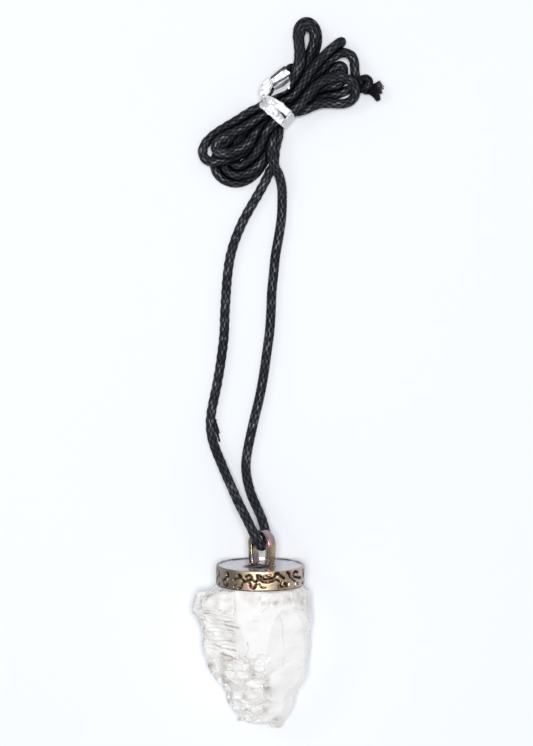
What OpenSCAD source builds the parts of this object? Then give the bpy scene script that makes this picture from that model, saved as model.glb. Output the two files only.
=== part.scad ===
// Rough quartz pendant in a round metal cap, on a waxed cord that is folded and tied.
// It lies on its back: +Z is up from the surface, +Y runs from the pendant to the folded cord.
// The origin is on the surface, at the middle of the pendant.

/* [Crystal] */
// Width of the rough crystal across its shoulders
crystal_w = 26.5; // [24:0.5:28]
// Thickness of the rough crystal near the cap
crystal_t = 19.6; // [18.5:0.1:20.5]
// Radius of the ground top of the crystal that sits inside the cap
crystal_plug_r = 8.8; // [8.2:0.1:8.9]

/* [Cap] */
// Outer diameter of the cap
cap_d = 19.5; // [19.2:0.1:19.8]
// Height of the cap's rim
cap_h = 4.4; // [4:0.1:5]
// Thickness of the rim strip
rim_t = 0.75; // [0.5:0.05:0.9]
// Thickness of the top disc
disc_t = 1; // [0.8:0.1:1.4]
// How far the disc lies below the rim's top edge
disc_recess = 0.2; // [0.1:0.05:0.4]
// How far the pendant's axis rises towards the bail as it lies
pendant_tilt = 5.5; // [5:0.1:6]

/* [Bail] */
// Outer width of the bail
bail_w = 6.5; // [6.3:0.1:7]
// Thickness of the bail's band
bail_t = 1.1; // [0.9:0.1:1.2]
// Width of the bail's band, along the eye
bail_band = 2.4; // [2:0.1:2.6]
// Height of the bail above the top disc
bail_h = 7.85; // [7.6:0.05:8.2]
// Turn of the bail about the pendant's axis
bail_turn = 43; // [38:1:46]

/* [Cord] */
// Diameter of the waxed cord
cord_d = 2; // [1.6:0.1:2.1]

/* [Folded cord] */
// Height of the folded cord
hank_h = 6; // [5:0.1:6]
// Half width of the folded cord where the strip grips it
neck_half_w = 3.5; // [3.3:0.1:3.8]

/* [Tie strip] */
// Width of the foil strip's two turns together
strip_w = 3.2; // [2.6:0.1:3.4]
// Thickness of the folded foil strip
strip_t = 0.25; // [0.2:0.05:0.3]

/* [Hidden] */
$fn = 96;
// Gap between pieces that don't touch, and how far a cut runs past what it cuts.
gap = 0.1;
over = 1;

// Places of the pieces on the surface, in millimetres.
cap_place = [1.85, 10.26, 9.8];
bail_shift = 0.35;
neck_place = [5.4, 115.2];
neck_angle = 50;
neck_half_l = 2.2;
knot_place = [23.9, 121.2, 2];

module in_cap_frame() {
    // Local +Z runs along the pendant's axis, out of the cap's top.
    translate(cap_place) rotate([pendant_tilt - 90, 0, 0]) children();
}

module in_neck_frame() {
    // Local +X runs along the folded cord, from the lower lobe to the upper ones.
    translate([neck_place.x, neck_place.y, 0]) rotate(neck_angle) children();
}

// Crystal.
// Each section is a cut across the crystal at y, from the cap down to the tip.
// The crystal's flat broken back lies on the surface where low is 0.
Y = 0;
LEFT = 1;
RIGHT = 2;
LOW = 3;
HIGH = 4;
RIDGE = 5;
LEAN = 6;
SECTIONS = [
    // y, left, right, low, high, place of the ridge, lean of the cut in degrees
    [9.9, -8.6, 11.6, 0.4, 19.1, 0.55, 5.5],
    [8.6, -11.7, 12.5, 0, 19.5, 0.50, 5.5],
    [6.6, -12.6, 13.0, 0, 19.6, 0.45, 5],
    [4.3, -13.25, 13.25, 0, 19.3, 0.42, 4],
    [1.5, -11.9, 13.1, 0, 18.7, 0.45, 3],
    [-1.5, -11.1, 12.8, 0, 17.9, 0.50, 2],
    [-6.0, -10.5, 12.4, 0, 16.3, 0.55, 0],
    [-10.0, -9.1, 11.4, 0, 14.5, 0.60, 0],
    [-13.3, -6.3, 10.3, 0, 12.7, 0.55, 0],
    [-17.5, -5.0, 9.1, 0, 10.2, 0.50, 0],
    [-20.5, -2.2, 7.6, 0.8, 8, 0.60, 0],
    [-21.1, 3.4, 7.3, 1.5, 7, 0.55, 0],
    [-22.35, 4.3, 6.9, 2.6, 5.8, 0.50, 0]
];
SECTION_W = 26.5;
SECTION_T = 19.6;

// Corners of a cut, as shares of its width and height, from its left round its underside.
function corners(ridge) = [
    [0, 0.42], [0.08, 0.14], [0.24, 0], [0.70, 0], [0.90, 0.12], [1, 0.40],
    [0.96, 0.70], [0.82, 0.90], [ridge, 1], [0.30, 0.93], [0.12, 0.80], [0.03, 0.62]
];

function section_point(s, corner) =
    let (
        wide = crystal_w / SECTION_W,
        thick = crystal_t / SECTION_T,
        x = s[LEFT] + corner[0] * (s[RIGHT] - s[LEFT]),
        z = s[LOW] + corner[1] * (s[HIGH] - s[LOW])
    )
    [x * wide, s[Y] - (z - cap_place.z) * tan(s[LEAN]), z * thick];

// Sides between rings of n points each, then the two ends. Rings run clockwise seen from the first end.
function sides(rings, n) = [
    for (k = [0 : rings - 2], i = [0 : n - 1])
        let (j = (i + 1) % n, a = k * n + i, b = k * n + j, c = b + n, d = a + n)
            each [[a, d, c], [a, c, b]]
];
function ends(rings, n) = [
    [for (i = [0 : n - 1]) i],
    [for (i = [n - 1 : -1 : 0]) (rings - 1) * n + i]
];

module rough_body() {
    n = len(corners(0));
    points = [for (s = SECTIONS, c = corners(s[RIDGE])) section_point(s, c)];
    polyhedron(points, concat(sides(len(SECTIONS), n), ends(len(SECTIONS), n)));
}

module quartz_crystal() {
    collar_r = 9.4;
    collar_l = 2.5;
    plug_l = cap_h - disc_recess - disc_t - 2 * gap;
    color([0.93, 0.92, 0.90])
    union() {
        rough_body();
        in_cap_frame() {
            translate([0, 0, -collar_l]) cylinder(h = collar_l - gap, r = collar_r);
            translate([0, 0, -collar_l]) cylinder(h = collar_l + plug_l, r = crystal_plug_r);
        }
    }
}

// Cap: a patterned strip round a disc, with the bail soldered on the disc.
disc_top = cap_h - disc_recess;
bail_r = bail_w / 2;
eye_r = bail_r - bail_t;
arch_z = disc_top + bail_h - bail_r;
foot_narrow = 0.3;

module rim_and_disc() {
    cup_h = disc_top - disc_t;
    inner_r = cap_d / 2 - rim_t;
    // The rim is thinner above the disc, which is set into it.
    seat = 0.2;
    difference() {
        cylinder(h = cap_h, d = cap_d);
        translate([0, 0, disc_top]) cylinder(h = cap_h, r = inner_r + seat);
        translate([0, 0, -over]) cylinder(h = cup_h + over, r = inner_r);
    }
}

// Arch of radius r on two legs that draw in a little towards their feet.
module arch_outline(r, foot) {
    translate([0, arch_z]) circle(r);
    polygon([[-r, arch_z], [r, arch_z], [r - foot_narrow, foot], [foot_narrow - r, foot]]);
}

module bail() {
    solder_h = 0.5;
    solder_foot_r = 1.7;
    solder_top_r = 1.2;
    translate([bail_shift, 0, 0]) rotate(-bail_turn) {
        rotate([90, 0, 0]) linear_extrude(bail_band, center = true) difference() {
            arch_outline(bail_r, disc_top - disc_t / 2);
            arch_outline(eye_r, disc_top);
        }
        for (side = [-1, 1])
            translate([side * (bail_r - foot_narrow - bail_t / 2), 0, disc_top - gap])
                cylinder(h = solder_h, r1 = solder_foot_r, r2 = solder_top_r);
    }
}

module cap_with_bail() {
    color([0.52, 0.44, 0.33]) in_cap_frame() union() {
        rim_and_disc();
        bail();
    }
}

// Cord: its middle line from the folded cord, through the bail's eye and back.
RUN_ROUTE = [
    [4.8, 112.7, 3.9], [4.4, 109.6, 4.2], [4.2, 106.3, 4.1], [4.8, 103.2, 3.7], [6.0, 100.7, 2.9],
    [6.6, 98.2, 1.8], [6.7, 95.0, 1.1], [6.5, 91.0, 1.0], [5.9, 87.0, 1.0], [5.2, 83.0, 1.0],
    [4.8, 79.0, 1.0], [4.4, 75.0, 1.0], [4.2, 70.5, 1.0], [3.9, 66.0, 1.0], [3.3, 61.5, 1.0],
    [2.6, 56.5, 1.0], [1.7, 51.5, 1.0], [0.6, 47.0, 1.0], [-0.4, 42.5, 1.0], [-1.1, 39.0, 1.0],
    [-1.4, 36.0, 1.2], [-1.1, 33.0, 2.1], [-0.3, 30.0, 3.3], [0.9, 27.2, 4.9], [2.0, 24.8, 6.3],
    [2.7, 22.7, 7.5], [3.2, 20.8, 8.5], [3.2, 19.3, 9.4], [2.3, 18.6, 10.6], [1.7, 19.0, 11.7],
    [1.1, 20.1, 12.5], [0.5, 21.4, 12.8], [-0.4, 23.2, 12.4], [-1.5, 25.4, 11.3], [-2.9, 28.0, 9.7],
    [-4.3, 31.0, 7.7], [-5.7, 34.0, 5.7], [-7.0, 37.0, 3.9], [-8.2, 39.8, 2.4], [-9.0, 42.4, 1.4],
    [-9.3, 45.0, 1.0], [-9.1, 48.0, 1.0], [-8.4, 51.5, 1.0], [-7.6, 55.5, 1.0], [-6.9, 60.0, 1.0],
    [-6.3, 65.0, 1.0], [-6.1, 70.0, 1.0], [-5.8, 75.0, 1.0], [-5.4, 79.5, 1.0], [-4.7, 83.5, 1.0],
    [-3.4, 87.5, 1.0], [-1.7, 91.3, 1.0], [0.4, 95.0, 1.0], [2.4, 98.5, 1.0], [4.0, 101.7, 1.0],
    [4.9, 103.3, 1.0], [5.1, 105.5, 1.4], [5.3, 107.2, 2.1], [5.8, 109.2, 2.6], [6.0, 110.5, 2.4],
    [5.8, 111.9, 2.0]
];
CORD_SIDES = 8;
// Square to the way the cord goes through the eye, and never along the cord.
CORD_REFERENCE = [0.73, 0, 0.68];

function unit(v) = v / norm(v);
// Both ends of the run meet the folded cord's end face squarely.
function along(route, k) =
    let (last = len(route) - 1, neck_axis = [cos(neck_angle), sin(neck_angle), 0])
    k == 0 ? -neck_axis : k == last ? neck_axis : unit(route[k + 1] - route[k - 1]);
function ring(middle, forward, r) =
    let (across = unit(cross(CORD_REFERENCE, forward)), up = cross(forward, across))
    [for (i = [0 : CORD_SIDES - 1])
        let (a = i * 360 / CORD_SIDES) middle + r * (cos(a) * across + sin(a) * up)];

module cord_run() {
    rings = len(RUN_ROUTE);
    points = [for (k = [0 : rings - 1]) each ring(RUN_ROUTE[k], along(RUN_ROUTE, k), cord_d / 2)];
    color([0.07, 0.07, 0.08])
        polyhedron(points, concat(sides(rings, CORD_SIDES), ends(rings, CORD_SIDES)));
}

// Folded cord: one lobe of loops below the strip and three above it, with a narrow neck between.
FROM_X = 0;
FROM_Y = 1;
FROM_R = 2;
TO_X = 3;
TO_Y = 4;
TO_R = 5;
LOBES = [
    // near end x, y, radius, then far end x, y, radius
    [2.5, 114.7, 1.6, -5.4, 105.0, 6.8],
    [7.6, 117.6, 1.8, 12.3, 132.6, 3.2],
    [6.8, 116.9, 2.4, 20.2, 127.0, 3.6],
    [7.0, 116.8, 2.2, 19.6, 119.9, 3.8]
];

// Upright loop bundle round two circles, with straight sides between them.
module lobe(l) {
    near = [l[FROM_X], l[FROM_Y]];
    far = [l[TO_X], l[TO_Y]];
    run = far - near;
    heading = atan2(run.y, run.x);
    lean = acos((l[FROM_R] - l[TO_R]) / norm(run));
    left = [cos(heading + lean), sin(heading + lean)];
    right = [cos(heading - lean), sin(heading - lean)];
    // The straight sides start a little inside both circles.
    inset = 0.97;
    near_r = inset * l[FROM_R];
    far_r = inset * l[TO_R];
    translate(near) cylinder(h = hank_h, r = l[FROM_R]);
    translate(far) cylinder(h = hank_h, r = l[TO_R]);
    linear_extrude(hank_h) polygon([
        near + near_r * left, far + far_r * left, far + far_r * right, near + near_r * right
    ]);
}

module neck() {
    in_neck_frame() translate([-neck_half_l, -neck_half_w, 0])
        cube([2 * neck_half_l, 2 * neck_half_w, hank_h]);
}

module cord_hank() {
    groove_h = strip_t + gap;
    groove_l = strip_w + 4 * gap;
    color([0.09, 0.09, 0.10]) difference() {
        union() {
            neck();
            for (l = LOBES) lobe(l);
        }
        // The strip passes under the folded cord here.
        in_neck_frame() translate([-groove_l / 2, -neck_half_w - over, -over])
            cube([groove_l, 2 * (neck_half_w + over), groove_h + over]);
    }
}

// Tie: a band round the neck, its twist, and its two flat ends lying over the loops.
START_X = 0;
START_Y = 1;
HEADING = 2;
LEVEL = 3;
TAIL_L = 4;
TAIL_W = 5;
TAILS = [
    // start x, start y, direction, height of the middle, length, width
    [1.2, 4.6, -8, 6.625, 7.1, 2.0],
    [1.2, 3.1, -18, 6.425, 5.8, 2.0]
];

module band() {
    inner_w = 2 * (neck_half_w + gap);
    outer_w = inner_w + 2 * strip_t;
    outer_h = hank_h + gap + strip_t;
    difference() {
        translate([-strip_w / 2, -outer_w / 2, 0]) cube([strip_w, outer_w, outer_h]);
        translate([-strip_w, -inner_w / 2, strip_t])
            cube([2 * strip_w, inner_w, hank_h + gap - strip_t]);
    }
}

module tie_strip() {
    twist_r = 0.5;
    twist_l = 2.4;
    twist_heading = 53;
    // The twist starts this far in from the middle and from the side of the neck.
    twist_in = 0.3;
    color([0.86, 0.87, 0.90]) in_neck_frame() union() {
        band();
        translate([twist_in, neck_half_w - twist_in, hank_h + gap + twist_r])
            rotate([0, 90, twist_heading]) cylinder(h = twist_l, r = twist_r);
        for (t = TAILS)
            translate([t[START_X], t[START_Y], t[LEVEL]]) rotate(t[HEADING])
                translate([0, -t[TAIL_W] / 2, -strip_t / 2]) cube([t[TAIL_L], t[TAIL_W], strip_t]);
    }
}

// Knot that joins the cord's two ends, with its cut ends fanned out.
KNOT_OUTLINE = [
    // radius, distance along the cord's ends
    [0, 0], [1.3, 0], [1.85, 0.5], [2, 1.1], [2, 1.8], [1.7, 2.5], [1.1, 2.9], [1.1, 3.2],
    [1.9, 5.1], [0, 5.1]
];

module end_knot() {
    fan_angle = -10;
    color([0.07, 0.06, 0.08]) translate(knot_place) rotate([0, 90, fan_angle])
        rotate_extrude() polygon(KNOT_OUTLINE);
}

quartz_crystal();
cap_with_bail();
cord_run();
cord_hank();
tie_strip();
end_knot();
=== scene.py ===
"""Quartz crystal necklace: a rough quartz point in an oxidised brass cap, on a folded waxed cord.

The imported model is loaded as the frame.  Every visible piece is then built in the
place that the frame gives it: the cord, its end knot, the foil tie, the brass cap with
its bail, and the crystal.  Sizes are in millimetres until a mesh is made.
"""

from __future__ import annotations

import itertools
import logging
import math
from collections.abc import Callable, Sequence
from dataclasses import dataclass
from enum import Enum

import bmesh
import bpy
import numpy as np
from mathutils import Matrix, Vector

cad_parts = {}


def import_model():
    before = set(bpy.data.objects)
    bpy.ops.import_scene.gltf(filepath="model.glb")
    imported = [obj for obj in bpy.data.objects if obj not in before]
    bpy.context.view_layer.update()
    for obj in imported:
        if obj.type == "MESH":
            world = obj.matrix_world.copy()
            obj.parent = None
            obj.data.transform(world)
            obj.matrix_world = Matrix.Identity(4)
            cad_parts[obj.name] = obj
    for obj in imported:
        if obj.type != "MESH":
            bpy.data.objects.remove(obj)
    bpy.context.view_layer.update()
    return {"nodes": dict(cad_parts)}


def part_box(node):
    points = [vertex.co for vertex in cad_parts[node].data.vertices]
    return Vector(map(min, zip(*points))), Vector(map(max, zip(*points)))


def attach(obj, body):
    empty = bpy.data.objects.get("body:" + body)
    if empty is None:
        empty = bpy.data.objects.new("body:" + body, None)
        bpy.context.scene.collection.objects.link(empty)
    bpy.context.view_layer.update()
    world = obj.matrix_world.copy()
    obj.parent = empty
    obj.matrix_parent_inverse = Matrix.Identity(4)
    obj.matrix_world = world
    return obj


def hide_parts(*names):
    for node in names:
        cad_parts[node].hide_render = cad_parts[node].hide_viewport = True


LOG = logging.getLogger("necklace")
MM = 0.001
BODY = "root"

# The plait: strands each way, how much a crossing and a strand's own round add to its
# height, and how round a strand is. The cord's mesh and its finish share them.
STRANDS = 6
CROSSING_SHARE = 0.42
ROUND_SHARE = 0.58
ROUNDNESS = 0.97

Point = tuple[float, float, float]
Flat = tuple[float, float]
Stroke = tuple[float, float, tuple[Flat, ...]]
Colour = tuple[float, float, float, float]
Array = np.ndarray
Piece = bpy.types.Object
Material = bpy.types.Material
Tree = bpy.types.NodeTree
Socket = bpy.types.NodeSocket
Face = tuple[int, ...]


# Small numerical helpers


def smooth(value: Array, start: float, end: float) -> Array:
    """Ease from 0 at start to 1 at end.

    Args:
        value: The numbers to ease.
        start: Where the result is 0.
        end: Where the result is 1; it may lie below start.

    Returns:
        The eased numbers, from 0 to 1.
    """
    part = np.clip((value - start) / (end - start), 0.0, 1.0)
    return part * part * (3.0 - 2.0 * part)


def hashed(cells: Array, seed: int) -> Array:
    """Give each whole-numbered cell a fixed random number.

    Args:
        cells: Cell places, one row each.
        seed: Which set of random numbers to use.

    Returns:
        Numbers from -1 to 1.
    """
    mixed = cells[:, 0] * 73856093 ^ cells[:, 1] * 19349663 ^ cells[:, 2] * 83492791
    mixed = (mixed ^ (seed * 2654435761)) & 0x7FFFFFFF
    mixed = ((mixed ^ (mixed >> 13)) * 1274126177) & 0x7FFFFFFF
    return ((mixed ^ (mixed >> 15)) & 0xFFFF) / 32767.5 - 1.0


def soft_noise(points: Array, size: float, seed: int) -> Array:
    """Smooth noise over space.

    Args:
        points: Places, one row each.
        size: Width of one bump, in the points' unit.
        seed: Which noise to use.

    Returns:
        Numbers from about -1 to 1.
    """
    cell = points / size
    low = np.floor(cell).astype(np.int64)
    ease = (cell - low) ** 2 * (3.0 - 2.0 * (cell - low))
    total = np.zeros(len(points))
    for corner in itertools.product((0, 1), repeat=3):
        share = np.prod(np.where(np.array(corner) == 1, ease, 1.0 - ease), axis=1)
        total += share * hashed(low + np.array(corner), seed)
    return total


def broken_cells(points: Array, size: float, seed: int) -> tuple[Array, Array, Array]:
    """Split space into uneven cells, as broken stone splits.

    Args:
        points: Places, one row each.
        size: Width of one cell, in the points' unit.
        seed: Which cells to use.

    Returns:
        Each point's own cell number from 0 to 1, how far it is up its cell's own slope,
        and how far it is from a border between cells, in cell widths.
    """
    far, unevenness = 9.0, 0.42
    cell = points / size
    low = np.floor(cell).astype(np.int64)
    first, second = np.full((2, len(points)), far)
    value, slope = np.zeros((2, len(points)))
    for corner in itertools.product((-1, 0, 1), repeat=3):
        near = low + np.array(corner)
        core = near + 0.5
        up = np.zeros(len(points))
        for axis in range(3):
            core[:, axis] += unevenness * hashed(near, seed + 7 * axis + 1)
            up += (cell - core)[:, axis] * hashed(near, seed + 5 * axis + 31)
        away = np.linalg.norm(cell - core, axis=1)
        closer = away < first
        second = np.where(closer, first, np.minimum(second, away))
        value = np.where(closer, hashed(near, seed) * 0.5 + 0.5, value)
        slope = np.where(closer, up, slope)
        first = np.where(closer, away, first)
    return value, slope, second - first


def drawn(place: Array, strokes: Sequence[Stroke], soft: float) -> Array:
    """How strongly drawn strokes cover each place on a flat.

    Args:
        place: Places on the flat, one row each.
        strokes: Half width, strength and points of each stroke.
        soft: How far a stroke's edge fades on each side.

    Returns:
        From 0 where there is no stroke to the strength of the strongest one.
    """
    cover = np.zeros(len(place))
    for half, strength, points in strokes:
        for first, last in zip(points, points[1:] or points):
            start, way = np.array(first), np.subtract(last, first)
            share = np.clip((place - start) @ way / max(way @ way, 1e-9), 0.0, 1.0)
            away = np.linalg.norm(place - start - share[:, None] * way, axis=1)
            cover = np.maximum(cover, strength * smooth(away, half + soft, half - soft))
    return cover


def through(points: Array, step: float) -> Array:
    """Run a smooth line through points and mark it off in equal steps.

    Args:
        points: The points that the line goes through.
        step: Distance from each new point to the next.

    Returns:
        The evenly spaced points.
    """
    full = np.vstack([2 * points[0] - points[1], points, 2 * points[-1] - points[-2]])
    share = np.linspace(0.0, 1.0, 24, endpoint=False)[:, None]
    runs = []
    for index in range(1, len(full) - 2):
        a, b, c, d = full[index - 1 : index + 3]
        bend = (2 * a - 5 * b + 4 * c - d) * share**2
        runs.append(0.5 * (2 * b + (c - a) * share + bend + (3 * b - a - 3 * c + d) * share**3))
    return even_steps(np.vstack([*runs, points[-1:]]), step)


def even_steps(line: Array, step: float) -> Array:
    """Mark a dense line off in equal steps.

    Args:
        line: Points close together.
        step: Wanted distance between the new points.

    Returns:
        The evenly spaced points, first and last kept.
    """
    length = np.concatenate([[0.0], np.cumsum(np.linalg.norm(np.diff(line, axis=0), axis=1))])
    count = max(2, int(round(length[-1] / step)) + 1)
    marks = np.linspace(0.0, length[-1], count)
    return np.column_stack([np.interp(marks, length, line[:, axis]) for axis in range(3)])


def line_length(line: Array) -> float:
    """Length of a line of points."""
    return float(np.linalg.norm(np.diff(line, axis=0), axis=1).sum())


def unit(rows: Array) -> Array:
    """Make each row of numbers one long."""
    return rows / np.linalg.norm(rows, axis=1)[:, None]


def eased(line: Array) -> Array:
    """How far each inner point of a line lies from the middle of its neighbours, halved."""
    return 0.25 * (line[:-2] + line[2:] - 2.0 * line[1:-1])


def ring_ways(ahead: Array, side: Array, turn: Array) -> Array:
    """Directions round a line at each of its points.

    Args:
        ahead: The line's direction at each point.
        side: A direction square to it at each point.
        turn: Places round the line, from 0 to 1.

    Returns:
        A direction for each point and place.
    """
    angle = 2.0 * np.pi * turn
    right = side[:, None, :] * np.cos(angle)[None, :, None]
    return right + np.cross(ahead, side)[:, None, :] * np.sin(angle)[None, :, None]


def tube_faces(rows: int, sides: int, base: int = 0) -> list[Face]:
    """Faces of a closed tube whose corners lie in rings.

    Args:
        rows: How many rings there are.
        sides: How many corners a ring has.
        base: The number of the first corner.

    Returns:
        The side faces, then the two ends.
    """
    faces: list[Face] = []
    for row in range(rows - 1):
        low, high = base + row * sides, base + (row + 1) * sides
        for index in range(sides):
            after = (index + 1) % sides
            faces.append((low + index, low + after, high + after, high + index))
    last = base + (rows - 1) * sides
    faces.append(tuple(range(base, base + sides))[::-1])
    faces.append(tuple(range(last, last + sides)))
    return faces


def sheet_faces(rows: int, columns: int, closed: bool = False) -> list[Face]:
    """Faces of a sheet whose corners lie in rows.

    Args:
        rows: How many rows there are.
        columns: How many corners a row has.
        closed: Whether the last row joins the first one.

    Returns:
        The faces.
    """
    faces: list[Face] = []
    for row in range(rows if closed else rows - 1):
        low, high = row * columns, (row + 1) % rows * columns
        for index in range(columns - 1):
            faces.append((low + index, high + index, high + index + 1, low + index + 1))
    return faces


# Modelling helpers


class Pick(Enum):
    """What a selection test is put to."""

    FACES = "FACE"
    EDGES = "EDGE"


class Work:
    """One piece in the making, picked, shaped and finished as by hand."""

    def __init__(self, piece: Piece) -> None:
        """Take up a piece."""
        self.piece = piece

    @property
    def data(self) -> bpy.types.Mesh:
        """The piece's mesh."""
        return self.piece.data

    @staticmethod
    def clear() -> None:
        """Deselect every object."""
        if bpy.context.object is not None and bpy.context.object.mode != "OBJECT":
            bpy.ops.object.mode_set(mode="OBJECT")
        bpy.ops.object.select_all(action="DESELECT")

    @classmethod
    def started(cls, name: str, scale: Point = (1.0, 1.0, 1.0)) -> Work:
        """Take up the primitive that was just added.

        Args:
            name: Its new name.
            scale: How much it is stretched along each axis.

        Returns:
            The piece, with its place and scale in its mesh.
        """
        piece = bpy.context.object
        piece.name = name
        piece.data.name = name
        piece.scale = scale
        bpy.ops.object.transform_apply(location=True, rotation=True, scale=True)
        return cls(piece)

    @classmethod
    def woven(cls, name: str, corners: Array, faces: Sequence[Face]) -> Work:
        """Make a piece straight from corners and faces.

        Args:
            name: The piece's name.
            corners: Its corners, in millimetres.
            faces: Corner numbers of each face, outside to the left.

        Returns:
            The new piece.
        """
        mesh = bpy.data.meshes.new(name)
        mesh.from_pydata((corners * MM).tolist(), [], faces)
        mesh.update()
        piece = bpy.data.objects.new(name, mesh)
        bpy.context.scene.collection.objects.link(piece)
        return cls(piece)

    def hold(self) -> None:
        """Make the piece the only selected one."""
        self.clear()
        self.piece.select_set(True)
        bpy.context.view_layer.objects.active = self.piece

    def edit(self) -> None:
        """Open the piece for shaping, with all of it picked."""
        self.hold()
        bpy.ops.object.mode_set(mode="EDIT")
        bpy.ops.mesh.select_all(action="SELECT")

    def pick(self, kind: Pick, test: Callable[[Vector, Vector], bool]) -> None:
        """Select only the faces or edges that pass a test, in edit mode.

        Args:
            kind: Faces, tested by middle and normal, or edges, by middle and direction.
            test: The test.
        """
        bpy.ops.mesh.select_mode(type=kind.value)
        bpy.ops.mesh.select_all(action="DESELECT")
        grid = bmesh.from_edit_mesh(self.data)
        for part in grid.faces if kind is Pick.FACES else grid.edges:
            if kind is Pick.FACES:
                middle, way = part.calc_center_median(), part.normal
            else:
                first, last = (corner.co for corner in part.verts)
                middle, way = (first + last) / 2, (last - first).normalized()
            if test(middle, way):
                part.select_set(True)
        grid.select_flush_mode()
        bmesh.update_edit_mesh(self.data)

    @staticmethod
    def pull(right: float, up: float) -> None:
        """Extrude what is picked, that far to the right and up."""
        bpy.ops.mesh.extrude_region_move(TRANSFORM_OT_translate={"value": (right, 0.0, up)})

    @staticmethod
    def leave() -> None:
        """Close the piece that is being shaped."""
        bpy.ops.object.mode_set(mode="OBJECT")

    def modify(self, kind: str, **settings: object) -> None:
        """Add a modifier and apply it.

        Args:
            kind: Blender's name for the modifier.
            **settings: The modifier's own settings.
        """
        self.hold()
        modifier = self.piece.modifiers.new(kind.lower(), kind)
        for key, value in settings.items():
            setattr(modifier, key, value)
        bpy.ops.object.modifier_apply(modifier=modifier.name)

    def place(self, matrix: Matrix) -> None:
        """Move the mesh, made in millimetres, to its place in the row frame, in metres."""
        self.data.transform(Matrix.Scale(MM, 4) @ matrix)
        self.data.update()

    def soften(self, angle: float) -> None:
        """Shade the piece smooth, but for edges sharper than an angle in degrees."""
        self.hold()
        bpy.ops.object.shade_smooth_by_angle(angle=math.radians(angle))

    def read(self, name: str) -> Array:
        """Read three numbers of each corner, such as its place, co: one row each."""
        flat = np.zeros(len(self.data.vertices) * 3, np.float32)
        self.data.vertices.foreach_get(name, flat)
        return flat.reshape(-1, 3).astype(float)

    def move_corners(self, corners: Array) -> None:
        """Put all corners of the mesh at new places."""
        self.data.vertices.foreach_set("co", corners.astype(np.float32).ravel())
        self.data.update()

    def mark(self, name: str, values: Array) -> None:
        """Store one number for each corner, under a name that the finish reads."""
        layer = self.data.attributes.new(name, "FLOAT", "POINT")
        layer.data.foreach_set("value", values.astype(np.float32))

    def hand_over(self, slot: str, finishes: Sequence[Material], *nodes: str) -> Piece:
        """Dress the shaped piece, let it ride on the body, and hide the CAD nodes that it replaces.

        Args:
            slot: Not used.
            finishes: Its materials.
            *nodes: The CAD nodes that it replaces.

        Returns:
            The piece.
        """
        for finish in finishes:
            self.data.materials.append(finish)
        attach(self.piece, BODY)
        if nodes:
            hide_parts(*nodes)
        LOG.info("%s: %d faces", self.piece.name, len(self.data.polygons))
        return self.piece


# Finishes


class Wiring:
    """Adds nodes to one node tree and joins them."""

    def __init__(self, tree: Tree) -> None:
        """Start on the node tree of a material, a group or the world."""
        self.tree = tree

    def add(
        self, kind: str, inputs: dict[str | int, object] | None = None, **settings: object
    ) -> bpy.types.Node:
        """Add a node.

        Args:
            kind: The node's type.
            inputs: For each input, the value it gets or the socket that feeds it.
            **settings: The node's own settings.

        Returns:
            The node.
        """
        node = self.tree.nodes.new(kind)
        for key, value in settings.items():
            setattr(node, key, value)
        for key, value in (inputs or {}).items():
            self.feed(node.inputs[key], value)
        return node

    def feed(self, target: Socket, value: object) -> None:
        """Join a socket to an input, or set the input's own value.

        Args:
            target: The input.
            value: The socket or the value.
        """
        if isinstance(value, bpy.types.NodeSocket):
            self.tree.links.new(value, target)
        else:
            target.default_value = value

    def math(self, operation: str, first: object, *others: object) -> Socket:
        """Put numbers and sockets through Math nodes, the result of each into the next.

        Args:
            operation: What the nodes do.
            first: The first number or socket.
            *others: Those that follow, if the operation takes two.

        Returns:
            The last node's result.
        """
        for other in others or (0.0,):
            node = self.add("ShaderNodeMath", {0: first, 1: other}, operation=operation)
            first = node.outputs[0]
        return first

    def plus(self, *parts: object) -> Socket:
        """Add numbers and sockets up."""
        return self.math("ADD", *parts)

    def less(self, first: object, second: object) -> Socket:
        """Take the second number or socket from the first."""
        return self.math("SUBTRACT", first, second)

    def times(self, *parts: object) -> Socket:
        """Multiply numbers and sockets."""
        return self.math("MULTIPLY", *parts)

    def larger(self, first: object, second: object) -> Socket:
        """Give the larger of two numbers or sockets."""
        return self.math("MAXIMUM", first, second)

    def blend(self, share: object, first: object, second: object) -> Socket:
        """Blend from the first colour at a share of 0 to the second one at 1."""
        inputs = {0: share, 6: first, 7: second}
        return self.add("ShaderNodeMix", inputs, data_type="RGBA").outputs[2]

    def span(
        self, value: object, low: object, high: object, to_low: float = 0.0, to_high: float = 1.0
    ) -> Socket:
        """Map a range of values to another, smoothly and without going past its ends.

        Args:
            value: The value or socket.
            low: The start of its range.
            high: The end of its range, which may lie below the start.
            to_low: What the start becomes.
            to_high: What the end becomes.

        Returns:
            The mapped value.
        """
        names = ("Value", "From Min", "From Max", "To Min", "To Max")
        inputs = dict(zip(names, (value, low, high, to_low, to_high)))
        node = self.add("ShaderNodeMapRange", inputs, interpolation_type="SMOOTHSTEP")
        return node.outputs["Result"]

    def noise(self, place: Socket, scale: object, detail: float) -> Socket:
        """Soft noise over places, from 0 to 1."""
        inputs = {"Vector": place, "Scale": scale, "Detail": detail}
        return self.add("ShaderNodeTexNoise", inputs).outputs["Fac"]

    def split(self, place: Socket) -> Sequence[Socket]:
        """Take a place apart into x, y and z."""
        return self.add("ShaderNodeSeparateXYZ", {0: place}).outputs

    def join(self, x: object, y: object, z: object = 0.0) -> Socket:
        """Put a place together from x, y and z."""
        return self.add("ShaderNodeCombineXYZ", {0: x, 1: y, 2: z}).outputs[0]

    def group(self, tree: Tree, **inputs: object) -> Sequence[Socket]:
        """Place a shared effect in this tree with its own values, and give its outputs."""
        return self.add("ShaderNodeGroup", inputs, node_tree=tree).outputs

    def attribute(self, name: str) -> Socket:
        """Read one of the piece's own numbers."""
        return self.add("ShaderNodeAttribute", attribute_name=name).outputs["Fac"]


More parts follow.
